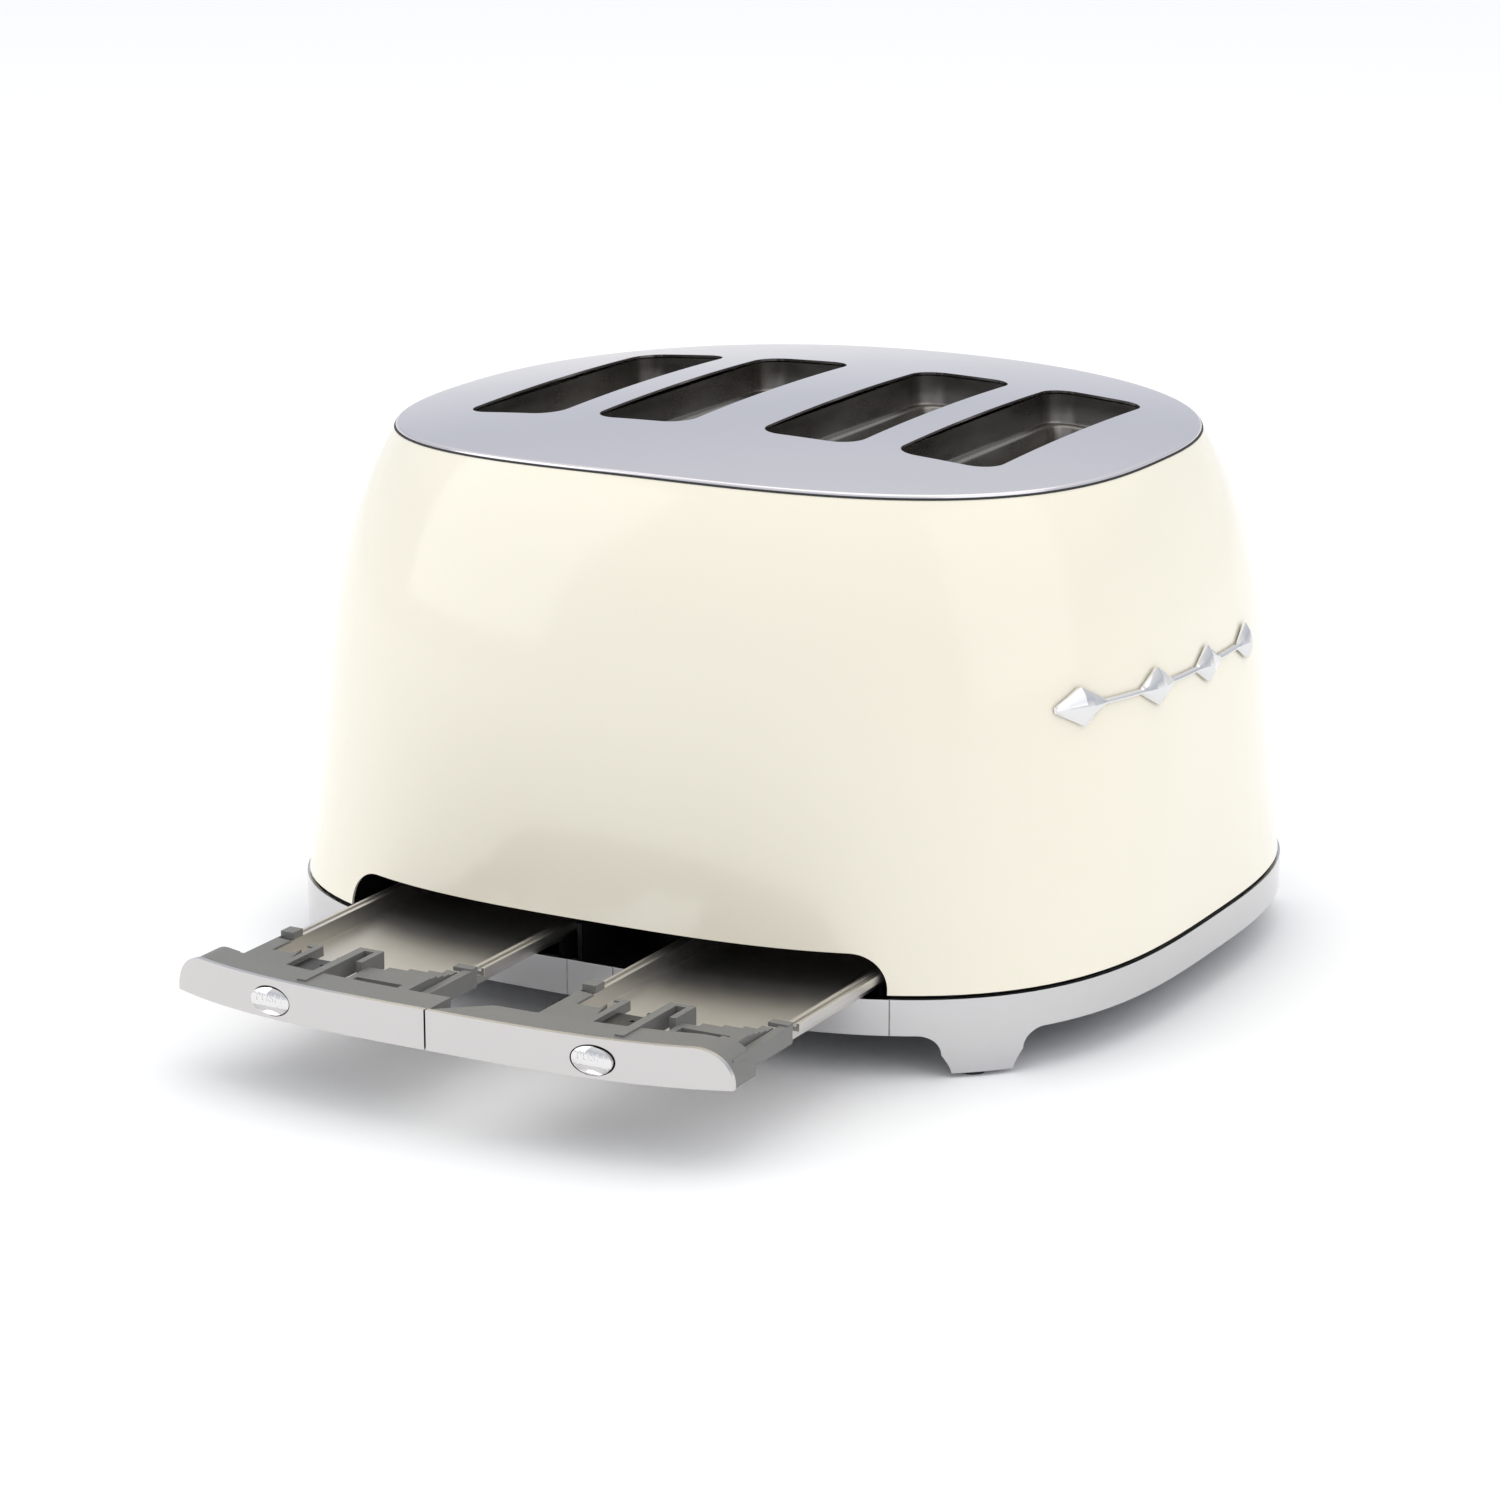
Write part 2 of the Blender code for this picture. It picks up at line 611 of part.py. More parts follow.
def make_top(toaster):
    """The domed chrome top plate with its four slots, and the two liners with their throats."""
    bm = bmesh.new()
    shares = (0.12, 0.5, 0.8, 1.0)
    rings = []
    for share in shares:
        plan = superellipse(RIM_HALF_X * share, RIM_HALF_Y * share, RIM_POWER)
        rings.append([bm.verts.new((x, y, dome_z(x, y))) for x, y in plan])
    bm.faces.new(rings[0])
    for inner, outer in zip(rings, rings[1:]):
        for i in range(AROUND):
            j = (i + 1) % AROUND
            bm.faces.new((inner[i], outer[i], outer[j], inner[j]))
    plate = piece_from(bm, "top_plate", finish="chrome", parent=toaster)
    if plate.data.polygons[0].normal.z < 0:
        plate.data.flip_normals()
    solidify = plate.modifiers.new("sheet steel", "SOLIDIFY")
    solidify.thickness = PLATE_WALL - SKIN
    solidify.offset = -1
    for i, x in enumerate(SLOT_CENTRES):
        cut(plate, prism(f"slot_cut_{i}", slot_outline(x), LINER_SHEET_Z, CROWN_Z + 0.04,
                         parent=toaster))
    smooth(plate)

    for side, sx in SIDES.items():
        near, far = sorted((sx * SKIN, sx * LINER_SHEET_HALF_X))
        liner = box(
            f"slot_liner_{side}", (near, -LINER_SHEET_HALF_Y, LINER_SHEET_Z),
            (far, LINER_SHEET_HALF_Y, LINER_SHEET_Z + LINER_WALL),
            finish="dark_steel", parent=toaster,
        )
        own_slots = [x for x in SLOT_CENTRES if x * sx > 0]
        for i, x in enumerate(own_slots):
            edge = dome_z(abs(x) + SLOT_WIDE / 2, SLOT_Y + SLOT_LONG / 2) - PLATE_WALL - 2 * SKIN
            low = LINER_SHEET_Z - LINER_DEEP
            outline = slot_outline(x, LINER_WALL)
            join(liner, prism(f"throat_{side}_{i}", outline, low, edge, parent=toaster))
        for i, x in enumerate(own_slots):
            outline = slot_outline(x)
            cut(liner, prism(
                f"throat_bore_{side}_{i}", outline, LINER_SHEET_Z - 2 * LINER_DEEP,
                CROWN_Z + 0.04, parent=toaster,
            ))


# ---------------------------------------------------------------- toasting chamber


def make_chamber(toaster):
    """The heat-shield box, its six heater boards and the wire grids that centre the bread."""
    chamber = box(
        "chamber", (-CHAMBER_HALF_X, -CHAMBER_HALF_Y, CHAMBER_BOTTOM_Z),
        (CHAMBER_HALF_X, CHAMBER_HALF_Y, CHAMBER_TOP_Z), finish="steel", parent=toaster,
    )
    lug_half_x = HUB_HALF_X
    for side, sx in SIDES.items():
        join(chamber, box(
            f"rod_lug_{side}",
            (sx * PAIR_X - lug_half_x, CHAMBER_HALF_Y - CHAMBER_WALL / 2, LUG_Z),
            (sx * PAIR_X + lug_half_x, ROD_Y + HUB_DEEP_Y, LUG_Z + 0.0016), parent=toaster,
        ))
        cut(chamber, rod(
            f"lug_hole_{side}", (sx * PAIR_X, ROD_Y, LUG_Z - 0.005), (0, 0, 1), 0.012,
            ROD_RADIUS + ROD_CLEAR, parent=toaster,
        ))
    inner_x, inner_y = CHAMBER_HALF_X - CHAMBER_WALL, CHAMBER_HALF_Y - CHAMBER_WALL
    cut(chamber, box(
        "chamber_hollow", (-inner_x, -inner_y, 0), (inner_x, inner_y, 0.3), parent=toaster
    ))
    for side, sx in SIDES.items():
        for end, y in (("control_end", FOOT_STRIP_Y), ("tray_end", -FOOT_STRIP_Y)):
            low_x, high_x = sorted((
                sx * (CHAMBER_HALF_X - CHAMBER_WALL / 2), sx * (CHAMBER_HALF_X + CHAMBER_WALL)
            ))
            join(chamber, box(
                f"chamber_foot_{side}_{end}", (low_x, y - 0.0080, FLOOR_TOP_Z + SKIN),
                (high_x, y + 0.0080, CHAMBER_BOTTOM_Z + 0.0120), parent=toaster,
            ))
    neck_half = 0.0026
    for i, x in enumerate(SLOT_CENTRES):
        cut(chamber, box(
            f"lifter_slit_{i}", (x - neck_half, 0.06, 0), (x + neck_half, 0.09, LIFTER_Z + 0.004),
            parent=toaster,
        ))

    boards = sorted({
        round(x + side * HEATER_OFFSET, 5) for x in SLOT_CENTRES for side in (-1, 1)
    })
    for number, x in enumerate(boards, 1):
        board = box(
            f"heater_{number}", (-HEATER_WALL / 2, -HEATER_LONG / 2, HEATER_BOTTOM_Z),
            (HEATER_WALL / 2, HEATER_LONG / 2, HEATER_TOP_Z), finish="mica", parent=toaster,
            location=(x, 0, 0),
        )
        pitch = (HEATER_TOP_Z - HEATER_BOTTOM_Z) / (HEATER_TURNS + 1)
        for turn in range(HEATER_TURNS):
            z = HEATER_BOTTOM_Z + pitch * (turn + 1)
            join(board, box(
                f"ribbon_{number}_{turn}", (-HEATER_WALL / 2 - 0.0004, -HEATER_LONG / 2 - 0.0004,
                z - 0.0006), (HEATER_WALL / 2 + 0.0004, HEATER_LONG / 2 + 0.0004, z + 0.0006),
                parent=toaster, location=(x, 0, 0),
            ))

    half_wire = GRID_WIRE / 2
    for number, x in enumerate(SLOT_CENTRES, 1):
        for side, sx in SIDES.items():
            name = f"grid_{number}_{side}"
            half_long = GRID_LONG / 2
            grid = box(
                name, (-half_wire, -half_long, GRID_BOTTOM_Z),
                (half_wire, half_long, GRID_TOP_Z), finish="steel", parent=toaster,
                location=(x + sx * GRID_OFFSET, SLOT_Y, 0),
            )
            gap = (GRID_LONG - GRID_WIRE) / (GRID_UPRIGHTS - 1)
            for i in range(GRID_UPRIGHTS - 1):
                low_y = -half_long + GRID_WIRE + i * gap
                cut(grid, box(
                    f"{name}_gap_{i}", (-0.01, low_y, GRID_BOTTOM_Z + GRID_WIRE),
                    (0.01, low_y + gap - GRID_WIRE, GRID_TOP_Z - GRID_WIRE), parent=toaster,
                    location=(x + sx * GRID_OFFSET, SLOT_Y, 0),
                ))
    return chamber


# ---------------------------------------------------------------- bread lift


def make_lift(toaster):
    """Two carriages on guide rods: each carries two bread lifters and one lever."""
    for side, sx in SIDES.items():
        x = sx * PAIR_X
        at_rod = new_empty(f"lift_axis_{side}", (x, ROD_Y, 0), toaster)
        plate_y = CARRIAGE_Y - ROD_Y
        slot_y = SLOT_Y - ROD_Y
        bar_top = LIFTER_Z - LIFTER_WALL
        half_bar = (SLOT_OUTER_X - SLOT_INNER_X) / 2 + 0.0060
        carriage = box(
            f"carriage_{side}", (-half_bar, plate_y, bar_top - CARRIAGE_BAR_TALL),
            (half_bar, plate_y + CARRIAGE_WALL, bar_top), finish="steel", parent=at_rod,
        )
        web = box(
            f"carriage_web_{side}", (-HUB_HALF_X, plate_y, bar_top - CARRIAGE_BAR_TALL),
            (HUB_HALF_X, plate_y + CARRIAGE_WALL, HUB_BOTTOM_Z + HUB_TALL), parent=at_rod,
        )
        hub = box(
            f"carriage_hub_{side}", (-HUB_HALF_X, plate_y, HUB_BOTTOM_Z),
            (HUB_HALF_X, HUB_DEEP_Y, HUB_BOTTOM_Z + HUB_TALL), parent=at_rod,
        )
        arm_end = BALL_Y - ROD_Y - LEVER_BALL_RADIUS * 0.75
        arm = box(
            f"lever_arm_{side}", (-LEVER_ARM_WIDE / 2, 0.0040, LEVER_Z - LEVER_ARM_TALL / 2),
            (LEVER_ARM_WIDE / 2, arm_end, LEVER_Z + LEVER_ARM_TALL / 2), parent=at_rod,
        )
        join(carriage, web, hub, arm)
        cut(carriage, rod(
            f"hub_bore_{side}", (0, 0, HUB_BOTTOM_Z - 0.01), (0, 0, 1), HUB_TALL + 0.02,
            ROD_RADIUS + ROD_CLEAR, parent=at_rod,
        ))

        bm = bmesh.new()
        bmesh.ops.create_uvsphere(bm, u_segments=20, v_segments=12, radius=LEVER_BALL_RADIUS)
        ball = piece_from(
            bm, f"lever_knob_{side}", finish="chrome", parent=at_rod,
            location=(0, BALL_Y - ROD_Y, LEVER_Z),
        )
        cut(ball, box(
            f"ball_socket_{side}", (-LEVER_ARM_WIDE / 2 - SKIN, -0.03, -LEVER_ARM_TALL / 2 - SKIN),
            (LEVER_ARM_WIDE / 2 + SKIN, -LEVER_BALL_RADIUS * 0.75 + SKIN,
            LEVER_ARM_TALL / 2 + SKIN), parent=at_rod, location=(0, BALL_Y - ROD_Y, LEVER_Z),
        ))
        smooth(ball)

        for place, slot_x in (("outer", SLOT_OUTER_X), ("inner", SLOT_INNER_X)):
            local_x = sx * (slot_x - PAIR_X)
            lifter = box(
                f"lifter_{side}_{place}", (-LIFTER_WIDE / 2, -LIFTER_LONG / 2 + slot_y,
                LIFTER_Z - LIFTER_WALL), (LIFTER_WIDE / 2, LIFTER_LONG / 2 + slot_y, LIFTER_Z),
                finish="dark_steel", parent=at_rod, location=(local_x, 0, 0),
            )
            neck = box(
                f"lifter_neck_{side}_{place}", (-0.0018, LIFTER_LONG / 2 + slot_y - 0.004,
                LIFTER_Z - LIFTER_WALL), (0.0018, plate_y + CARRIAGE_WALL,
                LIFTER_Z), parent=at_rod, location=(local_x, 0, 0),
            )
            keel = box(
                f"lifter_keel_{side}_{place}", (-0.0006, -LIFTER_LONG / 2 + slot_y,
                LIFTER_Z - 0.0070), (0.0006, plate_y - SKIN,
                LIFTER_Z - LIFTER_WALL / 2), parent=at_rod, location=(local_x, 0, 0),
            )
            join(lifter, neck, keel)
            cut(carriage, box(
                f"neck_notch_{side}_{place}", (-0.0018 - SKIN, plate_y - 0.01,
                LIFTER_Z - LIFTER_WALL - SKIN), (0.0018 + SKIN, plate_y + 0.01, LIFTER_Z + 0.01),
                parent=at_rod, location=(local_x, 0, 0),
            ))

        socket_floor = FLOOR_TOP_Z + 0.0100 + SKIN
        guide = rod(
            f"guide_rod_{side}", (0, 0, socket_floor), (0, 0, 1), ROD_TOP_Z - socket_floor,
            ROD_RADIUS, segments=16, finish="steel", parent=toaster, location=(x, ROD_Y, 0),
        )
        smooth(guide)
        make_spring(f"lift_spring_{side}", x, toaster)
        mx, my = MAGNET_HALF_X, MAGNET_HALF_Y
        top = bar_top - CARRIAGE_BAR_TALL - LIFT_TRAVEL - SKIN
        mag_x = x - sx * MAGNET_X
        magnet = box(
            f"magnet_{side}", (-mx, -my, FLOOR_TOP_Z + SKIN), (mx, my, top),
            finish="copper", parent=toaster, location=(mag_x, CARRIAGE_Y + my, 0),
        )
        for edge in (-1, 1):
            cut(magnet, box(
                f"magnet_groove_{side}_{edge}", (edge * mx - 0.0020, -0.02, FLOOR_TOP_Z + 0.0060),
                (edge * mx + 0.0020, 0.02, top - 0.0040), parent=toaster,
                location=(mag_x, CARRIAGE_Y + my, 0),
            ))


def make_spring(name, x, toaster):
    """The compression spring between the bottom cover's boss and the carriage's hub."""
    low = ROD_BOSS_TOP_Z + SKIN + SPRING_WIRE
    high = HUB_BOTTOM_Z - SKIN - SPRING_WIRE
    steps = SPRING_TURNS * 8
    curve = bpy.data.curves.new(name, "CURVE")
    curve.dimensions = "3D"
    curve.bevel_depth = SPRING_WIRE
    curve.bevel_resolution = 0
    curve.use_fill_caps = True
    spline = curve.splines.new("POLY")
    spline.points.add(steps)
    for i, point in enumerate(spline.points):
        angle = 2 * math.pi * SPRING_TURNS * i / steps
        z = low + (high - low) * i / steps
        point.co = (SPRING_RADIUS * math.cos(angle), SPRING_RADIUS * math.sin(angle), z, 1)
    made = bpy.data.objects.new(name, curve)
    made.location = (x, ROD_Y, 0)
    made.parent = toaster
    curve.materials.append(own_material(name, "steel"))
    PARTS.objects.link(made)


# ---------------------------------------------------------------- controls


def make_controls(toaster):
    """Browning knobs and function buttons on the control side, and their circuit board."""
    board = box(
        "control_board", (-BOARD_HALF_X, BOARD_Y, BOARD_BOTTOM_Z),
        (BOARD_HALF_X, BOARD_Y + BOARD_WALL, BOARD_TOP_Z), finish="green", parent=toaster,
    )
    for side, sx in SIDES.items():
        face = shell_y(PAIR_X, KNOB_Z)
        knob = rod(
            f"browning_knob_{side}", (0, KNOB_STAND, 0), (0, 1, 0), KNOB_DEEP, KNOB_RADIUS,
            KNOB_RADIUS * 0.93, segments=28, finish="chrome", parent=toaster,
            location=(sx * PAIR_X, face, KNOB_Z),
        )
        join(knob, rod(
            f"knob_shaft_{side}", (0, KNOB_STAND + 0.0040, 0), (0, -1, 0), KNOB_SHAFT_LONG,
            KNOB_SHAFT_RADIUS, segments=12, parent=toaster, location=(sx * PAIR_X, face, KNOB_Z),
        ))
        cut(board, rod(
            f"board_hole_{side}", (sx * PAIR_X, 0.1, KNOB_Z), (0, 1, 0), 0.1,
            KNOB_SHAFT_RADIUS + HOLE_CLEAR, segments=12, parent=toaster,
        ))
        smooth(knob)
        for i, z in enumerate(BUTTON_Z):
            button_face = shell_y(BUTTON_X, z) + BUTTON_OUT
            button = rod(
                f"button_{side}_{i + 1}", (0, 0, 0), (0, -1, 0), BUTTON_DEEP, BUTTON_RADIUS,
                segments=16, finish="chrome", parent=toaster,
                location=(sx * BUTTON_X, button_face, z),
            )
            join(button, rod(
                f"button_collar_{side}_{i + 1}", (0, -BUTTON_OUT - SHELL_WALL - 0.0010, 0),
                (0, -1, 0), 0.0020, BUTTON_RADIUS + BUTTON_COLLAR, segments=16, parent=toaster,
                location=(sx * BUTTON_X, button_face, z),
            ))
            smooth(button)
            join(board, box(
                f"board_switch_{side}_{i + 1}", (-0.0030, BOARD_Y + BOARD_WALL / 2, -0.0030),
                (0.0030, button_face - BUTTON_DEEP - BUTTON_TRAVEL - SKIN, 0.0030),
                parent=toaster, location=(sx * BUTTON_X, 0, z),
            ))


# ---------------------------------------------------------------- crumb trays


def front_line(low_x, high_x, inset, count=14):
    """Points along the bow of the tray front between two x values, seen from above."""
    points = []
    for i in range(count):
        x = low_x + (high_x - low_x) * i / (count - 1)
        y = -BASE_HALF_Y * (1 - abs(x / BASE_HALF_X) ** BASE_POWER) ** (1 / BASE_POWER)
        points.append((x, y - TRAY_OUT + inset))
    return points


def bowed_bar(name, low_x, high_x, inset, thick, low, high, **placing):
    outer = front_line(low_x, high_x, inset)
    inner = front_line(low_x, high_x, inset + thick)
    return prism(name, outer + inner[::-1], low, high, "Z", **placing)


def beam_end(x):
    """Back face of the grey frame's beam at x, with the tray drawn out."""
    return front_line(x, x, TRAY_FRONT_WALL + SKIN + TRAY_BEAM_DEEP, 2)[0][1]


def beam_depth(side, x):
    """Depth of the grey beam at x: on the right it grows from nothing beside the other tray."""
    share = min(1.0, x / TRAY_WEDGE_X) if side == "right" else 1.0
    return 0.0030 + (TRAY_BEAM_DEEP - 0.0030) * share


def push_oval(x, z, grow=0.0):
    angles = [2 * math.pi * i / 24 for i in range(24)]
    half_x, half_z = PUSH_HALF_X + grow, PUSH_HALF_Z + grow
    return [(x + half_x * math.cos(angle), z + half_z * math.sin(angle)) for angle in angles]


def make_trays(toaster):
    """Each tray is a chrome front, a grey moulded frame, a steel pan and a push button."""
    beam_inset = TRAY_FRONT_WALL + SKIN
    outer_x = PAIR_X + TRAY_SHIFT + PAN_HALF_X
    pan_front = front_line(outer_x, outer_x, beam_inset + TRAY_BEAM_DEEP + SKIN, 2)[0][1]
    pan_end = -BASE_HALF_Y - TRAY_OUT + PAN_BACK
    arm_end = -BASE_HALF_Y - TRAY_OUT + TRAY_ARM_BACK
    high = TRAY_OPENING_TOP_Z + 0.01
    for side, sx in SIDES.items():
        middle = sx * PAIR_X + TRAY_SHIFT
        push_x = sx * PUSH_X
        near, far = sorted((sx * SKIN, sx * (TRAY_HALF_OPENING + 0.01)))
        front = bowed_bar(
            f"tray_front_{side}", near, far, 0, TRAY_FRONT_WALL, TRAY_LOW_Z, high,
            finish="chrome", parent=toaster,
        )
        shape = tray_opening(TRAY_CLEAR)
        keep(front, prism(f"tray_front_shape_{side}", shape, -0.4, -0.1, "Y", parent=toaster))
        hole = push_oval(push_x, PUSH_Z, SKIN)
        cut(front, prism(f"push_hole_{side}", hole, -0.4, -0.1, "Y", parent=toaster))
        smooth(front)

        outer = front_line(near, far, beam_inset)
        inner = [(x, y + beam_depth(side, x)) for x, y in outer]
        frame = prism(
            f"tray_frame_{side}", outer + inner[::-1], TRAY_LOW_Z, high,
            finish="grey", parent=toaster,
        )
        shape = tray_opening(TRAY_CLEAR + 0.0008)
        keep(frame, prism(f"tray_beam_shape_{side}", shape, -0.4, -0.1, "Y", parent=toaster))
        for edge, se in (("a", -1), ("b", 1)):
            low_x, high_x = sorted((
                middle + se * (PAN_HALF_X + SKIN), middle + se * (PAN_HALF_X + RAIL_WIDE)
            ))
            root = front_line(low_x, high_x, beam_inset + 0.0030, 2)
            arm = root + [(high_x, arm_end), (low_x, arm_end)]
            arm_top = TRAY_LOW_Z + TRAY_ARM_TALL
            join(frame, prism(
                f"tray_arm_{side}_{edge}", arm, TRAY_LOW_Z, arm_top, parent=toaster
            ))
        make_frame_ribs(frame, side, middle, beam_inset, pan_front, toaster)
        face_y = front_line(push_x, push_x, 0, 2)[0][1]
        pocket_end = face_y + TRAY_FRONT_WALL + PUSH_DEEP + 0.0015
        cut(frame, prism(f"push_pocket_{side}", hole, -0.4, pocket_end, "Y", parent=toaster))

        pan = box(
            f"tray_pan_{side}", (-PAN_HALF_X, pan_front, TRAY_FLOOR_Z),
            (PAN_HALF_X, pan_end, TRAY_FLOOR_Z + PAN_TALL), finish="brushed", parent=toaster,
            location=(middle, 0, 0),
        )
        join(pan, box(
            f"pan_rails_{side}", (-PAN_HALF_X - RAIL_WIDE, arm_end + SKIN,
            TRAY_FLOOR_Z + PAN_TALL - RAIL_TALL), (PAN_HALF_X + RAIL_WIDE, pan_end,
            TRAY_FLOOR_Z + PAN_TALL), parent=toaster, location=(middle, 0, 0),
        ))
        cut(pan, box(
            f"pan_hollow_{side}", (-PAN_HALF_X + PAN_WALL, pan_front + PAN_WALL,
            TRAY_FLOOR_Z + PAN_WALL), (PAN_HALF_X - PAN_WALL, pan_end - PAN_WALL, 0.1),
            parent=toaster, location=(middle, 0, 0),
        ))
        push = prism(
            f"push_button_{side}", push_oval(0, 0), -0.0005, PUSH_DEEP, "Y", finish="chrome",
            parent=toaster, location=(push_x, face_y + 0.0005, PUSH_Z),
        )
        smooth(push)


def make_frame_ribs(frame, side, middle, beam_inset, pan_front, toaster):
    """The bridge of the grey frame over the pan's front end, with its ribs."""
    low = TRAY_FLOOR_Z + PAN_TALL + SKIN
    edge = PAN_HALF_X + RAIL_WIDE / 2
    back = pan_front + BRIDGE_DEEP
    root = front_line(middle - edge, middle + edge, beam_inset + 0.0030)
    bridge = root + [(middle + edge, back), (middle - edge, back)]
    join(frame, prism(f"frame_bridge_{side}", bridge, low, low + 0.0020, parent=toaster))
    for number, offset in enumerate(RIB_PLACES):
        x = middle + offset
        rib_root = front_line(x - RIB_WALL / 2, x + RIB_WALL / 2, beam_inset + 0.0030, 2)
        rib = rib_root + [(x + RIB_WALL / 2, back + 0.0060), (x - RIB_WALL / 2, back + 0.0060)]
        join(frame, prism(
            f"frame_rib_{side}_{number}", rib, low + 0.0004, low + 0.0042, parent=toaster
        ))


# ---------------------------------------------------------------- badge


def make_badge(toaster):
    """A plain ornament on the +X side: four lozenges on one thin strip, bent to the shell."""
    half_strip = BADGE_STRIP_TALL / 2
    stations = []
    for i in range(BADGE_COUNT):
        y = BADGE_Y + (i - (BADGE_COUNT - 1) / 2) * BADGE_PITCH
        stations.append((y - BADGE_LONG / 2, half_strip, 0.6))
        stations.append((y, BADGE_TALL / 2, 1.0))
        stations.append((y + BADGE_LONG / 2, half_strip, 0.6))
        if i < BADGE_COUNT - 1:
            for share in (0.25, 0.5, 0.75):
                gap = BADGE_PITCH - BADGE_LONG
                stations.append((y + BADGE_LONG / 2 + gap * share, half_strip, 0.6))
    rings = []
    for y, half, proud in stations:
        inner = [(shell_x(y, BADGE_Z + v) + SKIN, y, BADGE_Z + v) for v in (-half, half)]
        crest = (shell_x(y, BADGE_Z) + SKIN + BADGE_OUT * proud, y)
        outer = [(*crest, BADGE_Z + v * 0.35) for v in (half, -half)]
        rings.append(inner + outer)
    bm = bmesh.new()
    loft(bm, rings)
    return piece_from(bm, "badge", finish="chrome", parent=toaster)


clear_scene()
PARTS = new_collection("pop_up_toaster")
CUTTERS = new_collection("cutters")


def main():
    toaster = new_empty("toaster", (0, BODY_Y, 0))
    cover = make_base(toaster)
    make_cord_gland(cover, toaster)
    make_shell(toaster)
    make_top(toaster)
    make_chamber(toaster)
    make_lift(toaster)
    make_controls(toaster)
    make_trays(toaster)
    make_badge(toaster)


main()
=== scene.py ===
import json
import math

import bmesh
import bpy
from mathutils import Matrix, Vector


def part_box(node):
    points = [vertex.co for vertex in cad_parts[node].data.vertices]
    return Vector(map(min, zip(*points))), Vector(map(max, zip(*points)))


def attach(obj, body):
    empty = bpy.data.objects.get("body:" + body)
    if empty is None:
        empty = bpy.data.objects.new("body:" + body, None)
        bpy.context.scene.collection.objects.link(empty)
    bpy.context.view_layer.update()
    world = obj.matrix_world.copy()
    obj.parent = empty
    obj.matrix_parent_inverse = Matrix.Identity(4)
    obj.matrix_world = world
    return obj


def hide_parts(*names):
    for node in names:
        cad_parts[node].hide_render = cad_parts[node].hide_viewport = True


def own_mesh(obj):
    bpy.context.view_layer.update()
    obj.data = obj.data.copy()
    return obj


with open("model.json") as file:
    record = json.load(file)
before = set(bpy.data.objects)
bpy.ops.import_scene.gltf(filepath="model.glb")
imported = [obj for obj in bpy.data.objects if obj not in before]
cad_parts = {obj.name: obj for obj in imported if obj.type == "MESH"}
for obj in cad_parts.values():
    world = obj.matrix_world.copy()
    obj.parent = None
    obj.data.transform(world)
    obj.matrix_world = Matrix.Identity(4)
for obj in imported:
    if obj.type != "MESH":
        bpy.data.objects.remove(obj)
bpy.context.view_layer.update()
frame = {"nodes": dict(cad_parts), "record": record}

# Where the toaster stands: its ring is centred on the body, which the crumb trays
# (towards -Y) and the levers (towards +Y) reach out from.
ring_low, ring_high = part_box("base_ring")
body_y = (ring_low.y + ring_high.y) / 2
shell_low, shell_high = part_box("shell")
plate_low, plate_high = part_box("top_plate")

# ------------------------------------------------------------------ materials and meshes


class Sock:
    """A shader socket that adds its own Math nodes when it is used in an expression."""

    def __init__(self, tree, socket):
        self.tree = tree
        self.socket = socket

    def _math(self, operation, a, b):
        return add_node(self.tree, "ShaderNodeMath", {"operation": operation}, {0: a, 1: b})

    def __add__(self, other):
        return self._math("ADD", self, other)

    def __radd__(self, other):
        return self._math("ADD", other, self)

    def __mul__(self, other):
        return self._math("MULTIPLY", self, other)

    def __rmul__(self, other):
        return self._math("MULTIPLY", other, self)


def add_node(tree, kind, settings=None, inputs=None, output=0):
    """Any other node: its settings first, then the values or links of its sockets."""
    made = tree.nodes.new(kind)
    for key, value in (settings or {}).items():
        if key == "stops":
            ramp = made.color_ramp
            while len(ramp.elements) < len(value):
                ramp.elements.new(0.5)
            for element, (place, colour) in zip(ramp.elements, value):
                element.position = place
                element.color = (*colour, 1)
        else:
            setattr(made, key, value)
    for key, value in (inputs or {}).items():
        if isinstance(value, Sock):
            tree.links.new(value.socket, made.inputs[key])
        else:
            made.inputs[key].default_value = value
    return Sock(tree, made.outputs[output])


class Finish:
    """A Principled material that is built up socket by socket."""

    def __init__(self, name, **constants):
        self.material = bpy.data.materials.new(name)
        self.material.use_nodes = True
        self.tree = self.material.node_tree
        self.shader = self.tree.nodes["Principled BSDF"]
        for key, value in constants.items():
            self.set(key.replace("_", " ").title(), value)

    def set(self, key, value):
        socket = self.shader.inputs[key]
        if isinstance(value, Sock):
            self.tree.links.new(value.socket, socket)
        else:
            socket.default_value = (*value, 1) if isinstance(value, tuple) else value

    def node(self, kind, settings=None, inputs=None, output=0):
        return add_node(self.tree, kind, settings, inputs, output)

    def place(self):
        """The point in metres on the object."""
        return self.node("ShaderNodeTexCoord", output=3)

    def noise(self, scale, detail=3.0, roughness=0.5, stretch=None):
        point = self.place()
        if stretch:
            point = self.node("ShaderNodeMapping", {}, {"Vector": point, "Scale": stretch})
        return self.node(
            "ShaderNodeTexNoise", {},
            {"Vector": point, "Scale": scale, "Detail": detail, "Roughness": roughness},
        )

    def mix(self, share, first, second):
        """A colour between two, by share."""
        values = {0: share}
        for key, value in ((6, first), (7, second)):
            values[key] = (*value, 1)
        return self.node("ShaderNodeMix", {"data_type": "RGBA"}, values, 2)

    def bump(self, height, distance, strength=1.0):
        self.set("Normal", self.node(
            "ShaderNodeBump", {}, {"Height": height, "Distance": distance, "Strength": strength}
        ))


def mesh_object(name, bm):
    """The bmesh as an object in the scene, with its faces turned outwards."""
    mesh = bpy.data.meshes.new(name)
    bmesh.ops.recalc_face_normals(bm, faces=bm.faces)
    bm.to_mesh(mesh)
    bm.free()
    made = bpy.data.objects.new(name, mesh)
    bpy.context.scene.collection.objects.link(made)
    return made


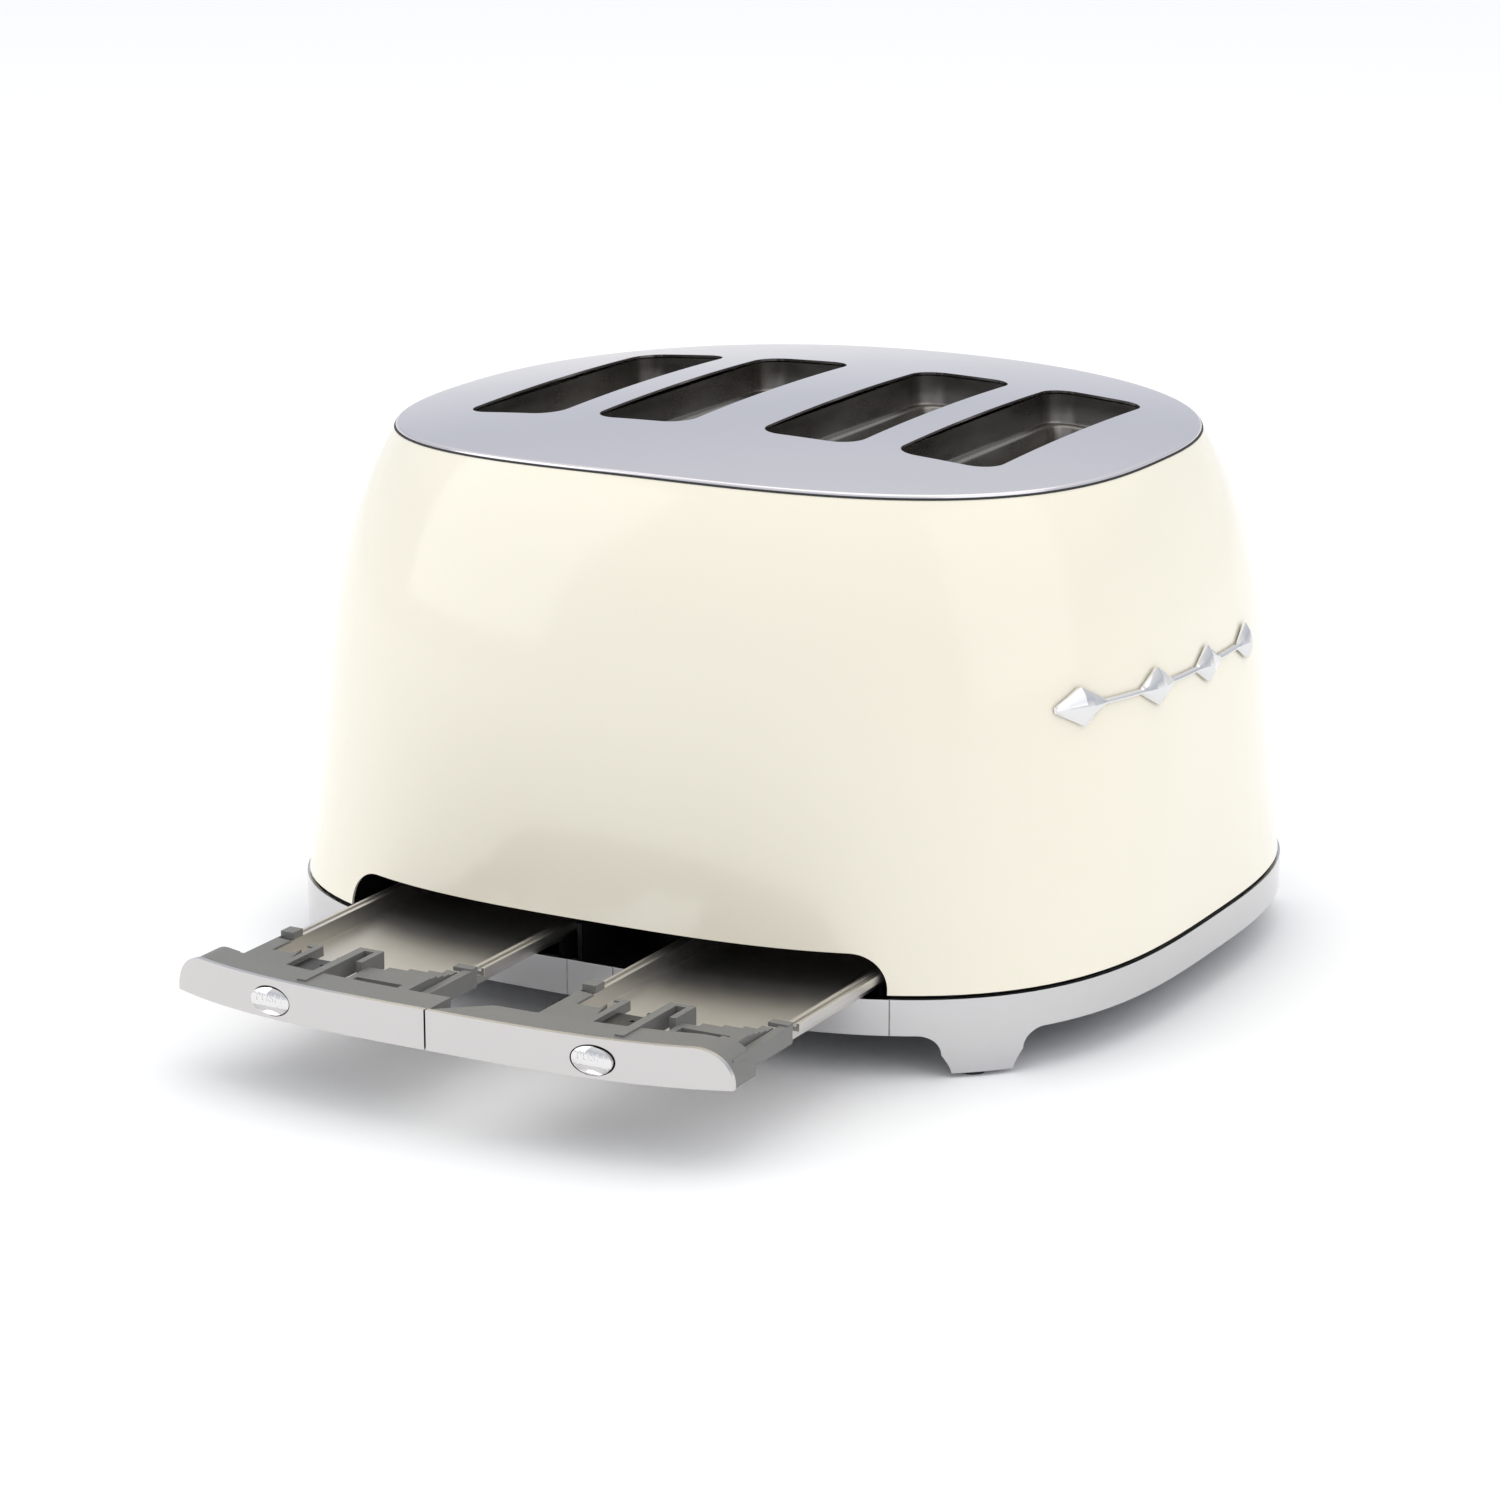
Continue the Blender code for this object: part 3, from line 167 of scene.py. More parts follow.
def smooth(piece, sharp):
    """Smooth shading, with the edges above an angle in degrees left sharp."""
    piece.data.shade_smooth()
    piece.data.set_sharp_from_angle(angle=math.radians(sharp))


def new_piece(name, bm, material, body="body", replaces=(), slot=None, sharp=35):
    """A finished mesh piece that rides on a body of the frame."""
    piece = mesh_object(name, bm)
    piece.data.materials.append(material)
    if sharp:
        smooth(piece, sharp)
    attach(piece, body)
    if replaces:
        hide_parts(*replaces)
        slot = slot or replaces[0]
    return piece


def apply_all(piece):
    """Turns a piece's modifiers into its mesh."""
    bpy.context.view_layer.update()
    graph = bpy.context.evaluated_depsgraph_get()
    mesh = bpy.data.meshes.new_from_object(piece.evaluated_get(graph), depsgraph=graph)
    piece.modifiers.clear()
    old = piece.data
    piece.data = mesh
    bpy.data.meshes.remove(old)


def boolean(piece, tools, operation="DIFFERENCE"):
    """Cuts or joins the tools with EXACT booleans, applies them and removes the tools."""
    for tool in tools:
        modifier = piece.modifiers.new(tool.name, "BOOLEAN")
        modifier.operation = operation
        modifier.object = tool
        modifier.solver = "EXACT"
    apply_all(piece)
    for tool in tools:
        bpy.data.objects.remove(tool)


def bevel(piece, width, segments=2, angle=40):
    """Rolls the edges over, and keeps the flat faces beside them flat to the eye."""
    modifier = piece.modifiers.new("rolled edge", "BEVEL")
    modifier.width = width
    modifier.segments = segments
    modifier.limit_method = "ANGLE"
    modifier.angle_limit = math.radians(angle)
    modifier.harden_normals = False
    apply_all(piece)
    smooth(piece, 50)
    weighted = piece.modifiers.new("flat faces", "WEIGHTED_NORMAL")
    weighted.keep_sharp = True
    apply_all(piece)


def solidify(piece, thickness, offset):
    sheet = piece.modifiers.new("sheet steel", "SOLIDIFY")
    sheet.thickness = thickness
    sheet.offset = offset


def loft(bm, rings, caps=(True, True)):
    """Skins closed rings of equal point counts."""
    made = [[bm.verts.new(point) for point in ring] for ring in rings]
    count = len(made[0])
    for lower, upper in zip(made, made[1:]):
        for i in range(count):
            j = (i + 1) % count
            bm.faces.new((lower[i], lower[j], upper[j], upper[i]))
    if caps[0]:
        bm.faces.new(made[0][::-1])
    if caps[1]:
        bm.faces.new(made[-1])


def superellipse(half_x, half_y, power, count):
    points = []
    for i in range(count):
        angle = 2 * math.pi * (i + 0.5) / count
        c, s = math.cos(angle), math.sin(angle)
        radius = (abs(c / half_x) ** power + abs(s / half_y) ** power) ** (-1 / power)
        points.append((radius * c, body_y + radius * s))
    return points


def prism(bm, outline, low, high, axis="Z"):
    """A flat outline made a solid between low and high along an axis."""
    def at(u, v, w):
        return {"Z": (u, v, w), "Y": (u, w, v), "X": (w, u, v)}[axis]
    loft(bm, [[at(u, v, w) for u, v in outline] for w in (low, high)])


def prism_cutter(name, outline, low, high, axis="Z"):
    bm = bmesh.new()
    prism(bm, outline, low, high, axis)
    return mesh_object(name, bm)


# ------------------------------------------------------------------ shell
# Deep-drawn steel, enamelled in glossy cream: upright walls that round over into the rim of
# the top plate, with a wide low arch for the crumb trays and, on the lever side, two lever
# slots, two shaft holes and two rows of button holes. The cut edges are rolled.

base_half_x = (shell_high.x - shell_low.x) / 2
base_half_y = (shell_high.y - shell_low.y) / 2
rim_half_x = (plate_high.x - plate_low.x) / 2
rim_half_y = (plate_high.y - plate_low.y) / 2
crown_z = plate_high.z
foot_z = shell_low.z
base_power, rim_power, plan_power = 3.09, 2.51, 4.8
wall_power, shoulder_power = 3.6, 0.935
dome_drop_x, dome_drop_y = 0.0088, 0.0048
rim_gap = 0.0012
shell_wall = 0.0012
arch_half, arch_top, arch_round = 0.1113, 0.0445, 0.0135
around = 176


def dome_z(x, y):
    """Height of the top plate's upper face."""
    y -= body_y
    return crown_z - dome_drop_x * (x / rim_half_x) ** 2 - dome_drop_y * (y / rim_half_y) ** 2


def shell_plan(level):
    share = (1 - min(1.0, level) ** wall_power) ** shoulder_power
    half_x = rim_half_x + (base_half_x - rim_half_x) * share
    half_y = rim_half_y + (base_half_y - rim_half_y) * share
    return half_x, half_y, rim_power + (base_power - rim_power) * (1 - level) ** plan_power


def shell_ring(level):
    rim = superellipse(rim_half_x, rim_half_y, rim_power, around)
    ring = []
    for (x, y), (rim_x, rim_y) in zip(superellipse(*shell_plan(level), around), rim):
        top = dome_z(rim_x, rim_y) - rim_gap
        ring.append((x, y, foot_z + (top - foot_z) * level))
    return ring


def shell_face(along, z, side):
    """The shell's outer face at a height: y for an x on the lever side, x for a y on the right."""
    level = (z - foot_z) / (crown_z - rim_gap - foot_z)
    half_x, half_y, power = shell_plan(min(1.0, max(0.0, level)))
    if side == "+Y":
        return body_y + half_y * (1 - abs(along / half_x) ** power) ** (1 / power)
    return half_x * (1 - abs((along - body_y) / half_y) ** power) ** (1 / power)


def arch(shrink=0.0, steps=12):
    """Outline of the tray opening in X and Z."""
    half, top, radius = arch_half - shrink, arch_top - shrink, arch_round - shrink
    outline = [(-half, 0.0), (half, 0.0)]
    for side in (1, -1):
        corner = []
        for step in range(steps + 1):
            angle = math.pi / 2 * step / steps
            corner.append((
                side * (half - radius * (1 - math.cos(angle))),
                top - radius * (1 - math.sin(angle)),
            ))
        outline += corner if side == 1 else corner[::-1]
    return outline


def rounded(half_u, half_v, radius, middle=(0, 0), steps=8):
    points = []
    for corner, (su, sv) in enumerate(((1, 1), (-1, 1), (-1, -1), (1, -1))):
        for step in range(steps + 1):
            angle = math.pi / 2 * (corner + step / steps)
            points.append((
                middle[0] + su * (half_u - radius) + radius * math.cos(angle),
                middle[1] + sv * (half_v - radius) + radius * math.sin(angle),
            ))
    return points


def disc(radius, middle, count=32):
    angles = [2 * math.pi * i / count for i in range(count)]
    return [(middle[0] + radius * math.cos(a), middle[1] + radius * math.sin(a)) for a in angles]


enamel = Finish("cream_enamel", roughness=0.2, coat_weight=0.35, coat_roughness=0.05)
depth = enamel.noise(9.0, 2.0)
enamel.set("Base Color", enamel.mix(depth, (0.835, 0.785, 0.645), (0.850, 0.803, 0.672)))
enamel.set("Roughness", 0.13 + 0.05 * enamel.noise(60.0, 3.0))
enamel.bump(enamel.noise(240.0, 2.0), 0.00002, 0.35)

levels = [1 - (1 - i / 40) ** 1.25 for i in range(41)]
bm = bmesh.new()
loft(bm, [shell_ring(level) for level in levels], caps=(False, False))
shell = new_piece("shell_skin", bm, enamel.material, replaces=("shell",))
solidify(shell, shell_wall, -1)
tools = [prism_cutter("tray_arch", arch(), -0.4, body_y - 0.05, "Y")]
far_side = (body_y + 0.1, body_y + 0.2, "Y")
for side in ("left", "right"):
    ball_low, ball_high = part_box(f"lever_knob_{side}")
    lever_x = (ball_low.x + ball_high.x) / 2
    lever_z = (ball_low.z + ball_high.z) / 2
    slot_half, lift_travel = 0.0035, 0.0600
    low, high = lever_z - lift_travel - 0.0053, lever_z + 0.0053
    outline = rounded(slot_half, (high - low) / 2, slot_half * 0.98, (lever_x, (low + high) / 2))
    tools.append(prism_cutter(f"lever_slot_{side}", outline, *far_side))
    knob_low, knob_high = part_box(f"browning_knob_{side}")
    shaft = disc(0.0035, (lever_x, (knob_low.z + knob_high.z) / 2))
    tools.append(prism_cutter(f"shaft_hole_{side}", shaft, *far_side))
    for key in (1, 2, 3):
        key_low, key_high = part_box(f"button_{side}_{key}")
        middle = ((key_low.x + key_high.x) / 2, (key_low.z + key_high.z) / 2)
        tools.append(prism_cutter(f"button_hole_{side}_{key}", disc(0.0055, middle), *far_side))
boolean(shell, tools)
bevel(shell, 0.0004)

# ------------------------------------------------------------------ base ring
# Chrome-plated ring under the shell, drawn in one piece with its four legs: each leg stands
# at a corner and runs into the ring through a round fillet. Its top edge is rolled.


def chrome_finish(name, tint, roughness=0.05, smudge=0.05):
    """Bright chrome plate with the faint uneven polish that a wiped surface has."""
    made = Finish(name, metallic=1.0)
    wiped = made.noise(22.0, 4.0, 0.6)
    made.set("Base Color", made.mix(wiped, tint, tuple(c * 0.965 for c in tint)))
    made.set("Roughness", roughness + smudge * made.noise(70.0, 4.0, 0.6, (1, 1, 0.4)))
    made.bump(made.noise(420.0, 2.0), 0.00001, 0.12)
    return made.material


ring_chrome = chrome_finish("ring_chrome", (0.58, 0.575, 0.58), 0.07)
ring_half_x = (ring_high.x - ring_low.x) / 2
ring_half_y = (ring_high.y - ring_low.y) / 2
ring_under = 0.0157
ring_wall, leg_deep = 0.0026, 0.0110
seam_half, seam_deep = 0.00022, 0.0003


def ring_plan(inset):
    return superellipse(ring_half_x - inset, ring_half_y - inset, base_power, around)


def leg_gap(half_gap, flare=0.0030, radius=0.0072, foot_round=0.0012):
    """The opening between two legs: a round upper corner that runs down into a flared foot."""
    side_line = []
    low = ring_low.z
    for step in range(9):
        angle = math.pi / 2 * step / 8
        side_line.append((half_gap - flare - radius * (1 - math.cos(angle)),
                          ring_under - radius * (1 - math.sin(angle))))
    foot_line = []
    drop = ring_under - radius - low
    for step in range(6):
        share = step / 6
        foot_line.append((half_gap - flare * share ** 1.5, low + drop * share))
    right = [(half_gap + foot_round, low - 0.01), (half_gap + foot_round, low)]
    right += foot_line + side_line
    left = [(-u, v) for u, v in right[::-1]]
    return right + left


bm = bmesh.new()
prism(bm, ring_plan(0), ring_low.z, ring_high.z)
ring = new_piece("chrome_ring", bm, ring_chrome, replaces=("base_ring",))
front_gap = leg_gap(0.1315)
side_gap = [(u + body_y, v) for u, v in leg_gap(0.1165)]
tools = [
    prism_cutter("ring_bore", ring_plan(ring_wall), ring_under + 0.0022, ring_high.z + 0.01),
    prism_cutter("leg_bore", ring_plan(leg_deep), -0.01, ring_under + 0.0030),
    prism_cutter("leg_gap_front", front_gap, body_y - 0.3, body_y + 0.3, "Y"),
    prism_cutter("leg_gap_side", side_gap, -0.3, 0.3, "X"),
]
for seam_x in (-0.0095, 0.0095, -0.1125, 0.1125):
    bow = base_half_y * (1 - abs(seam_x / base_half_x) ** base_power) ** (1 / base_power)
    low_x, high_x, end_y = seam_x - seam_half, seam_x + seam_half, body_y - bow - seam_deep
    outline = [(low_x, -0.4), (high_x, -0.4), (high_x, end_y), (low_x, end_y)]
    tools.append(prism_cutter("ring_seam", outline, 0.0, 0.05))
boolean(ring, tools)
bevel(ring, 0.0006, 3)

# ------------------------------------------------------------------ top plate
# A domed plate of polished chrome that lies on the shell's rim. Its outer edge is rolled
# down over the rim, and each bread slot has its cut edge rounded.

plate_chrome = chrome_finish("plate_chrome", (0.70, 0.675, 0.70), 0.12, 0.05)
slot_wide, slot_long, slot_round = 0.0400, 0.1370, 0.0100
slot_inner, slot_outer = 0.0348, 0.0902
slot_y = body_y + 0.0070
slot_centres = (-slot_outer, -slot_inner, slot_inner, slot_outer)
plate_wall = 0.0009
roll = 0.0011


def slot_outline(x, grow=0.0, steps=8):
    return rounded(slot_wide / 2 + grow, slot_long / 2 + grow, slot_round + grow, (x, slot_y),
                   steps)


bm = bmesh.new()
rings = []
edge_x, edge_y = rim_half_x - roll, rim_half_y - roll
for i in range(27):
    share = 0.04 + 0.96 * (i / 26)
    plan = superellipse(edge_x * share, edge_y * share, rim_power, around)
    rings.append([(x, y, dome_z(x, y)) for x, y in plan])
inner = superellipse(edge_x, edge_y, rim_power, around)
for step in range(1, 5):
    angle = math.pi / 2 * step / 4
    out = roll * math.sin(angle)
    plan = superellipse(edge_x + out, edge_y + out, rim_power, around)
    rings.append([
        (x, y, dome_z(ix, iy) - roll * (1 - math.cos(angle)))
        for (x, y), (ix, iy) in zip(plan, inner)
    ])
loft(bm, rings, caps=(True, False))
plate = new_piece("domed_plate", bm, plate_chrome, replaces=("top_plate",))
solidify(plate, plate_wall, -1 if plate.data.polygons[0].normal.z > 0 else 1)
boolean(plate, [
    prism_cutter(f"slot_{i}", slot_outline(x), 0.17, 0.25) for i, x in enumerate(slot_centres)
])
bevel(plate, 0.00035, 2, 45)

# ------------------------------------------------------------------ gasket, pads and cover
# A black rubber strip that shows as the thin line between shell and ring, a ribbed rubber pad
# under each leg, and the moulded bottom cover with its four screws and the cord bushing. A
# second black strip under the top plate's rim is painted shade, a dark line for the shadow gap
# between rim and shell.


def carry(node, material):
    """A CAD node that keeps its shape and gets a finish."""
    mesh = frame["nodes"][node].data
    mesh.materials.clear()
    mesh.materials.append(material)


def lathe(bm, profile, middle, axis="Z", count=48):
    """A turned part: profile gives radius and place along the axis."""
    rings = []
    for radius, along in profile:
        ring = []
        for i in range(count):
            angle = 2 * math.pi * i / count
            u, v = radius * math.cos(angle), radius * math.sin(angle)
            offset = {"Z": (u, v, along), "Y": (u, along, v)}[axis]
            ring.append(tuple(m + o for m, o in zip(middle, offset)))
        rings.append(ring)
    loft(bm, rings)


rubber = Finish("black_rubber", base_color=(0.018, 0.018, 0.019), roughness=0.75)
dust = rubber.noise(180.0, 4.0, 0.65)
rubber.set("Base Color", rubber.mix(dust, (0.012, 0.012, 0.013), (0.030, 0.030, 0.031)))
rubber.bump(rubber.noise(900.0, 2.0), 0.00008, 0.5)
carry("shell_gasket", rubber.material)
# Painted shade: a black strip under the top plate's rim that stands in for the shadow gap between
# rim and shell.
bm = bmesh.new()
rings = []
rim = superellipse(rim_half_x, rim_half_y, rim_power, around)
for out, drop in ((-0.0010, 0.0010), (0.0003, 0.0010), (0.00055, 0.0017), (-0.0010, 0.0017)):
    plan = superellipse(rim_half_x + out, rim_half_y + out, rim_power, around)
    rings.append([(x, y, dome_z(rx, ry) - drop) for (x, y), (rx, ry) in zip(plan, rim)])
loft(bm, rings + rings[:1], caps=(False, False))
bmesh.ops.remove_doubles(bm, verts=bm.verts, dist=0.000001)
new_piece("rim_shadow_line", bm, rubber.material, slot="shell_gasket")
carry("cord_gland", rubber.material)
for end in ("control_end", "tray_end"):
    for side in ("left", "right"):
        name = f"foot_pad_{end}_{side}"
        pad_low, pad_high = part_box(name)
        centre = ((pad_low.x + pad_high.x) / 2, (pad_low.y + pad_high.y) / 2, 0)
        radius = (pad_high.x - pad_low.x) / 2
        bm = bmesh.new()
        lathe(bm, [(radius * 0.30, 0.0004), (radius * 0.42, 0), (radius * 0.62, 0),
                   (radius * 0.68, 0.0003), (radius * 0.76, 0.0003), (radius * 0.82, 0),
                   (radius * 0.95, 0), (radius, 0.0003), (radius, pad_high.z - 0.0001),
                   (radius * 0.97, pad_high.z)], centre)
        new_piece(f"ribbed_pad_{end}_{side}", bm, rubber.material, replaces=(name,))

moulding = Finish("black_moulding", base_color=(0.020, 0.020, 0.021), roughness=0.5)
grain = moulding.noise(700.0, 3.0, 0.6)
moulding.set("Roughness", 0.42 + 0.2 * moulding.noise(30.0))
moulding.set("Base Color", moulding.mix(grain, (0.015, 0.015, 0.016), (0.026, 0.026, 0.027)))
moulding.bump(grain, 0.00012, 0.5)
carry("bottom_cover", moulding.material)

zinc = Finish("zinc_plate", metallic=1.0, roughness=0.3)
bloom = zinc.noise(90.0, 5.0, 0.6)
zinc.set("Base Color", zinc.mix(bloom, (0.44, 0.45, 0.46), (0.62, 0.62, 0.61)))
zinc.set("Roughness", 0.24 + 0.2 * bloom)
zinc.bump(zinc.noise(500.0), 0.00003, 0.3)
cover_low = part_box("bottom_cover")[0]
for number, (sx, sy) in enumerate(((1, 1), (-1, 1), (-1, -1), (1, -1)), 1):
    centre = (sx * 0.128, body_y + sy * 0.112, cover_low.z)
    bm = bmesh.new()
    lathe(bm, [(0.0008, -0.0004), (0.0009, -0.0010), (0.0028, -0.0010), (0.0036, -0.0004),
               (0.0036, 0.0003)], centre, count=24)
    new_piece(f"cover_screw_{number}", bm, zinc.material)

# ------------------------------------------------------------------ slot throats
# Two pressed steel sheets under the top plate. Each bread slot has a throat with a ledge
# 12 mm down, where the sheet steps in towards the bread.

throat_steel = Finish("throat_steel", metallic=1.0, roughness=0.3)
burnt = throat_steel.noise(45.0, 5.0, 0.6, (1, 1, 3))
throat_steel.set("Base Color", throat_steel.mix(burnt, (0.15, 0.142, 0.130), (0.30, 0.285, 0.265)))
throat_steel.set("Roughness", 0.20 + 0.18 * burnt)
throat_steel.bump(throat_steel.noise(260.0, 3.0, 0.5, (1, 1, 0.2)), 0.00004, 0.4)
ledge_drop, ledge_in, sheet_wall, throat_deep = 0.0115, 0.0026, 0.0006, 0.0200


def block(bm, low, high):
    prism(bm, [(low[0], low[1]), (high[0], low[1]), (high[0], high[1]), (low[0], high[1])],
          low[2], high[2])


for side, sx in (("left", -1), ("right", 1)):
    liner_low, liner_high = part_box(f"slot_liner_{side}")
    sheet_z = liner_low.z + throat_deep
    near, far = sorted((sx * 0.0004, sx * (abs(liner_low.x) if sx < 0 else liner_high.x)))
    bm = bmesh.new()
    block(bm, (near, liner_low.y, sheet_z), (far, liner_high.y, sheet_z + sheet_wall))
    liner = new_piece(f"pressed_liner_{side}", bm, throat_steel.material,
                      replaces=(f"slot_liner_{side}",))
    own = [x for x in slot_centres if x * sx > 0]
    boolean(liner, [
        prism_cutter(f"liner_hole_{side}_{i}", slot_outline(x), sheet_z - 0.01, sheet_z + 0.01)
        for i, x in enumerate(own)
    ])
    for place, x in zip(("outer", "inner") if sx < 0 else ("inner", "outer"), own):
        bm = bmesh.new()
        rings = []
        for grow, drop in ((0.0009, 0.0), (0.0009, 0.0030), (0.0007, ledge_drop - 0.0010),
                           (0.0002, ledge_drop), (-ledge_in + 0.0006, ledge_drop + 0.0003),
                           (-ledge_in, ledge_drop + 0.0011), (-ledge_in - 0.0004, 0.0330)):
            rings.append([
                (u, v, max(liner_low.z, dome_z(u, v) - plate_wall - sheet_wall - drop))
                for u, v in slot_outline(x, grow, 10)
            ])
        loft(bm, rings, caps=(False, False))
        throat = new_piece(f"throat_{side}_{place}", bm, throat_steel.material,
                           slot=f"slot_liner_{side}")
        solidify(throat, sheet_wall, 0)
        apply_all(throat)
        smooth(throat, 50)

# ------------------------------------------------------------------ toasting chamber
# An aluminised steel box with a heat tint kept very dark as painted shade for the dim chamber.
# Between the slots stand mica boards wound with flat heating ribbon, and wire grids on both sides
# of each slice.

heat_shield = Finish("heat_shield", metallic=1.0, roughness=0.45)
tint = heat_shield.noise(14.0, 5.0, 0.6)
# Painted shade: the box's colour is kept very dark, past its heat tint, so the inside of the
# chamber looks shaded.
heat_shield.set("Base Color", heat_shield.mix(tint, (0.05, 0.047, 0.045), (0.13, 0.12, 0.105)))
heat_shield.set("Roughness", 0.35 + 0.25 * tint)
heat_shield.bump(heat_shield.noise(600.0), 0.00004, 0.4)
carry("chamber", heat_shield.material)

mica = Finish("mica_board", roughness=0.5)
flakes = mica.node("ShaderNodeTexVoronoi", {}, {"Vector": mica.place(), "Scale": 260.0}, 1)
mica.set("Base Color", mica.mix(mica.noise(120.0, 5.0), (0.36, 0.30, 0.20), (0.62, 0.55, 0.41)))
mica.set("Roughness", 0.35 + 0.3 * mica.noise(300.0))
mica.bump(mica.node("ShaderNodeRGBToBW", {}, {0: flakes}), 0.00006, 0.4)
ribbon = Finish("heating_ribbon", metallic=1.0, roughness=0.35)
scale = ribbon.noise(400.0, 4.0)
ribbon.set("Base Color", ribbon.mix(scale, (0.16, 0.14, 0.13), (0.36, 0.31, 0.27)))
ribbon.bump(scale, 0.00003, 0.3)
for number in range(1, 7):
    name = f"heater_{number}"
    low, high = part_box(name)
    middle_x, half = (low.x + high.x) / 2, 0.0006
    bm = bmesh.new()
    turns = 12
    pitch = (high.z - low.z) / turns
    outline = [(low.y + 0.001, low.z), (high.y - 0.001, low.z)]
    for turn in range(turns):
        z = low.z + pitch * (turn + 0.5)
        notch = [(0.001, -0.0015), (0.0018, -0.0010), (0.0018, 0.0010), (0.001, 0.0015)]
        outline += [(high.y - inset, z + rise) for inset, rise in notch]
    outline += [(high.y - 0.001, high.z), (low.y + 0.001, high.z)]
    for turn in reversed(range(turns)):
        z = low.z + pitch * (turn + 0.5)
        outline += [(low.y + inset, z - rise) for inset, rise in notch]
    prism(bm, outline, middle_x - half, middle_x + half, "X")
    new_piece(f"mica_board_{number}", bm, mica.material, replaces=(name,), sharp=None)
    bm = bmesh.new()
    for turn in range(turns):
        z = low.z + pitch * (turn + 0.5)
        start, end = low.y + 0.0014, high.y - 0.0014
        for sx in (-1, 1):
            face = sorted((middle_x + sx * half, middle_x + sx * (half + 0.0002)))
            slope = 0.0016 * sx
            prism(bm, [(start, z - 0.0007), (end, z - 0.0007 + slope),
                       (end, z + 0.0007 + slope), (start, z + 0.0007)], *face, "X")
    new_piece(f"heating_ribbon_{number}", bm, ribbon.material, slot=name, sharp=None)


def tube(bm, path, radius, sides=8, closed=False):
    """A round wire along a path."""
    points = [Vector(p) for p in path]
    rings = []
    for i, point in enumerate(points):
        ahead = points[(i + 1) % len(points)] if closed or i + 1 < len(points) else point
        behind = points[i - 1] if closed or i else point
        along = (ahead - behind).normalized()
        guide = Vector((1, 0, 0)) if abs(along.x) < 0.7 else Vector((0, 1, 0))
        side_way = along.cross(guide).normalized()
        third = along.cross(side_way)
        ring = []
        for j in range(sides):
            angle = 2 * math.pi * j / sides
            ring.append(point + (side_way * math.cos(angle) + third * math.sin(angle)) * radius)
        rings.append(ring)
    if closed:
        rings.append(rings[0])
    loft(bm, rings, caps=(not closed, not closed))
    if closed:
        bmesh.ops.remove_doubles(bm, verts=bm.verts, dist=1e-6)


wire = Finish("bright_wire", metallic=1.0, roughness=0.3)
heated = wire.noise(110.0, 4.0)
wire.set("Base Color", wire.mix(heated, (0.30, 0.28, 0.25), (0.58, 0.56, 0.53)))
wire.bump(heated, 0.00002, 0.3)
for number in range(1, 5):
    for side in ("left", "right"):
        name = f"grid_{number}_{side}"
        low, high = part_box(name)
        x, gauge = (low.x + high.x) / 2, 0.0008
        bm = bmesh.new()
        frame_path = [(x, v, z) for v, z in rounded(
            (high.y - low.y) / 2 - gauge, (high.z - low.z) / 2 - gauge, 0.003,
            ((low.y + high.y) / 2, (low.z + high.z) / 2), 3)]
        tube(bm, frame_path, gauge, closed=True)
        for i in range(1, 10):
            y = low.y + gauge + (high.y - low.y - 2 * gauge) * i / 10
            tube(bm, [(x, y, low.z + gauge), (x, y, high.z - gauge)], gauge * 0.8, 6)
        new_piece(f"wire_{name}", bm, wire.material, body=next(
            b for b, nodes in frame["record"]["behaviour"]["bodies"].items() if name in nodes
        ), replaces=(name,))

# ------------------------------------------------------------------ bread lift
# Stamped, zinc-plated lifters and carriages on ground steel rods, each with a return
# spring, a holding magnet with a copper coil, and a chromed ball on the lever's end.

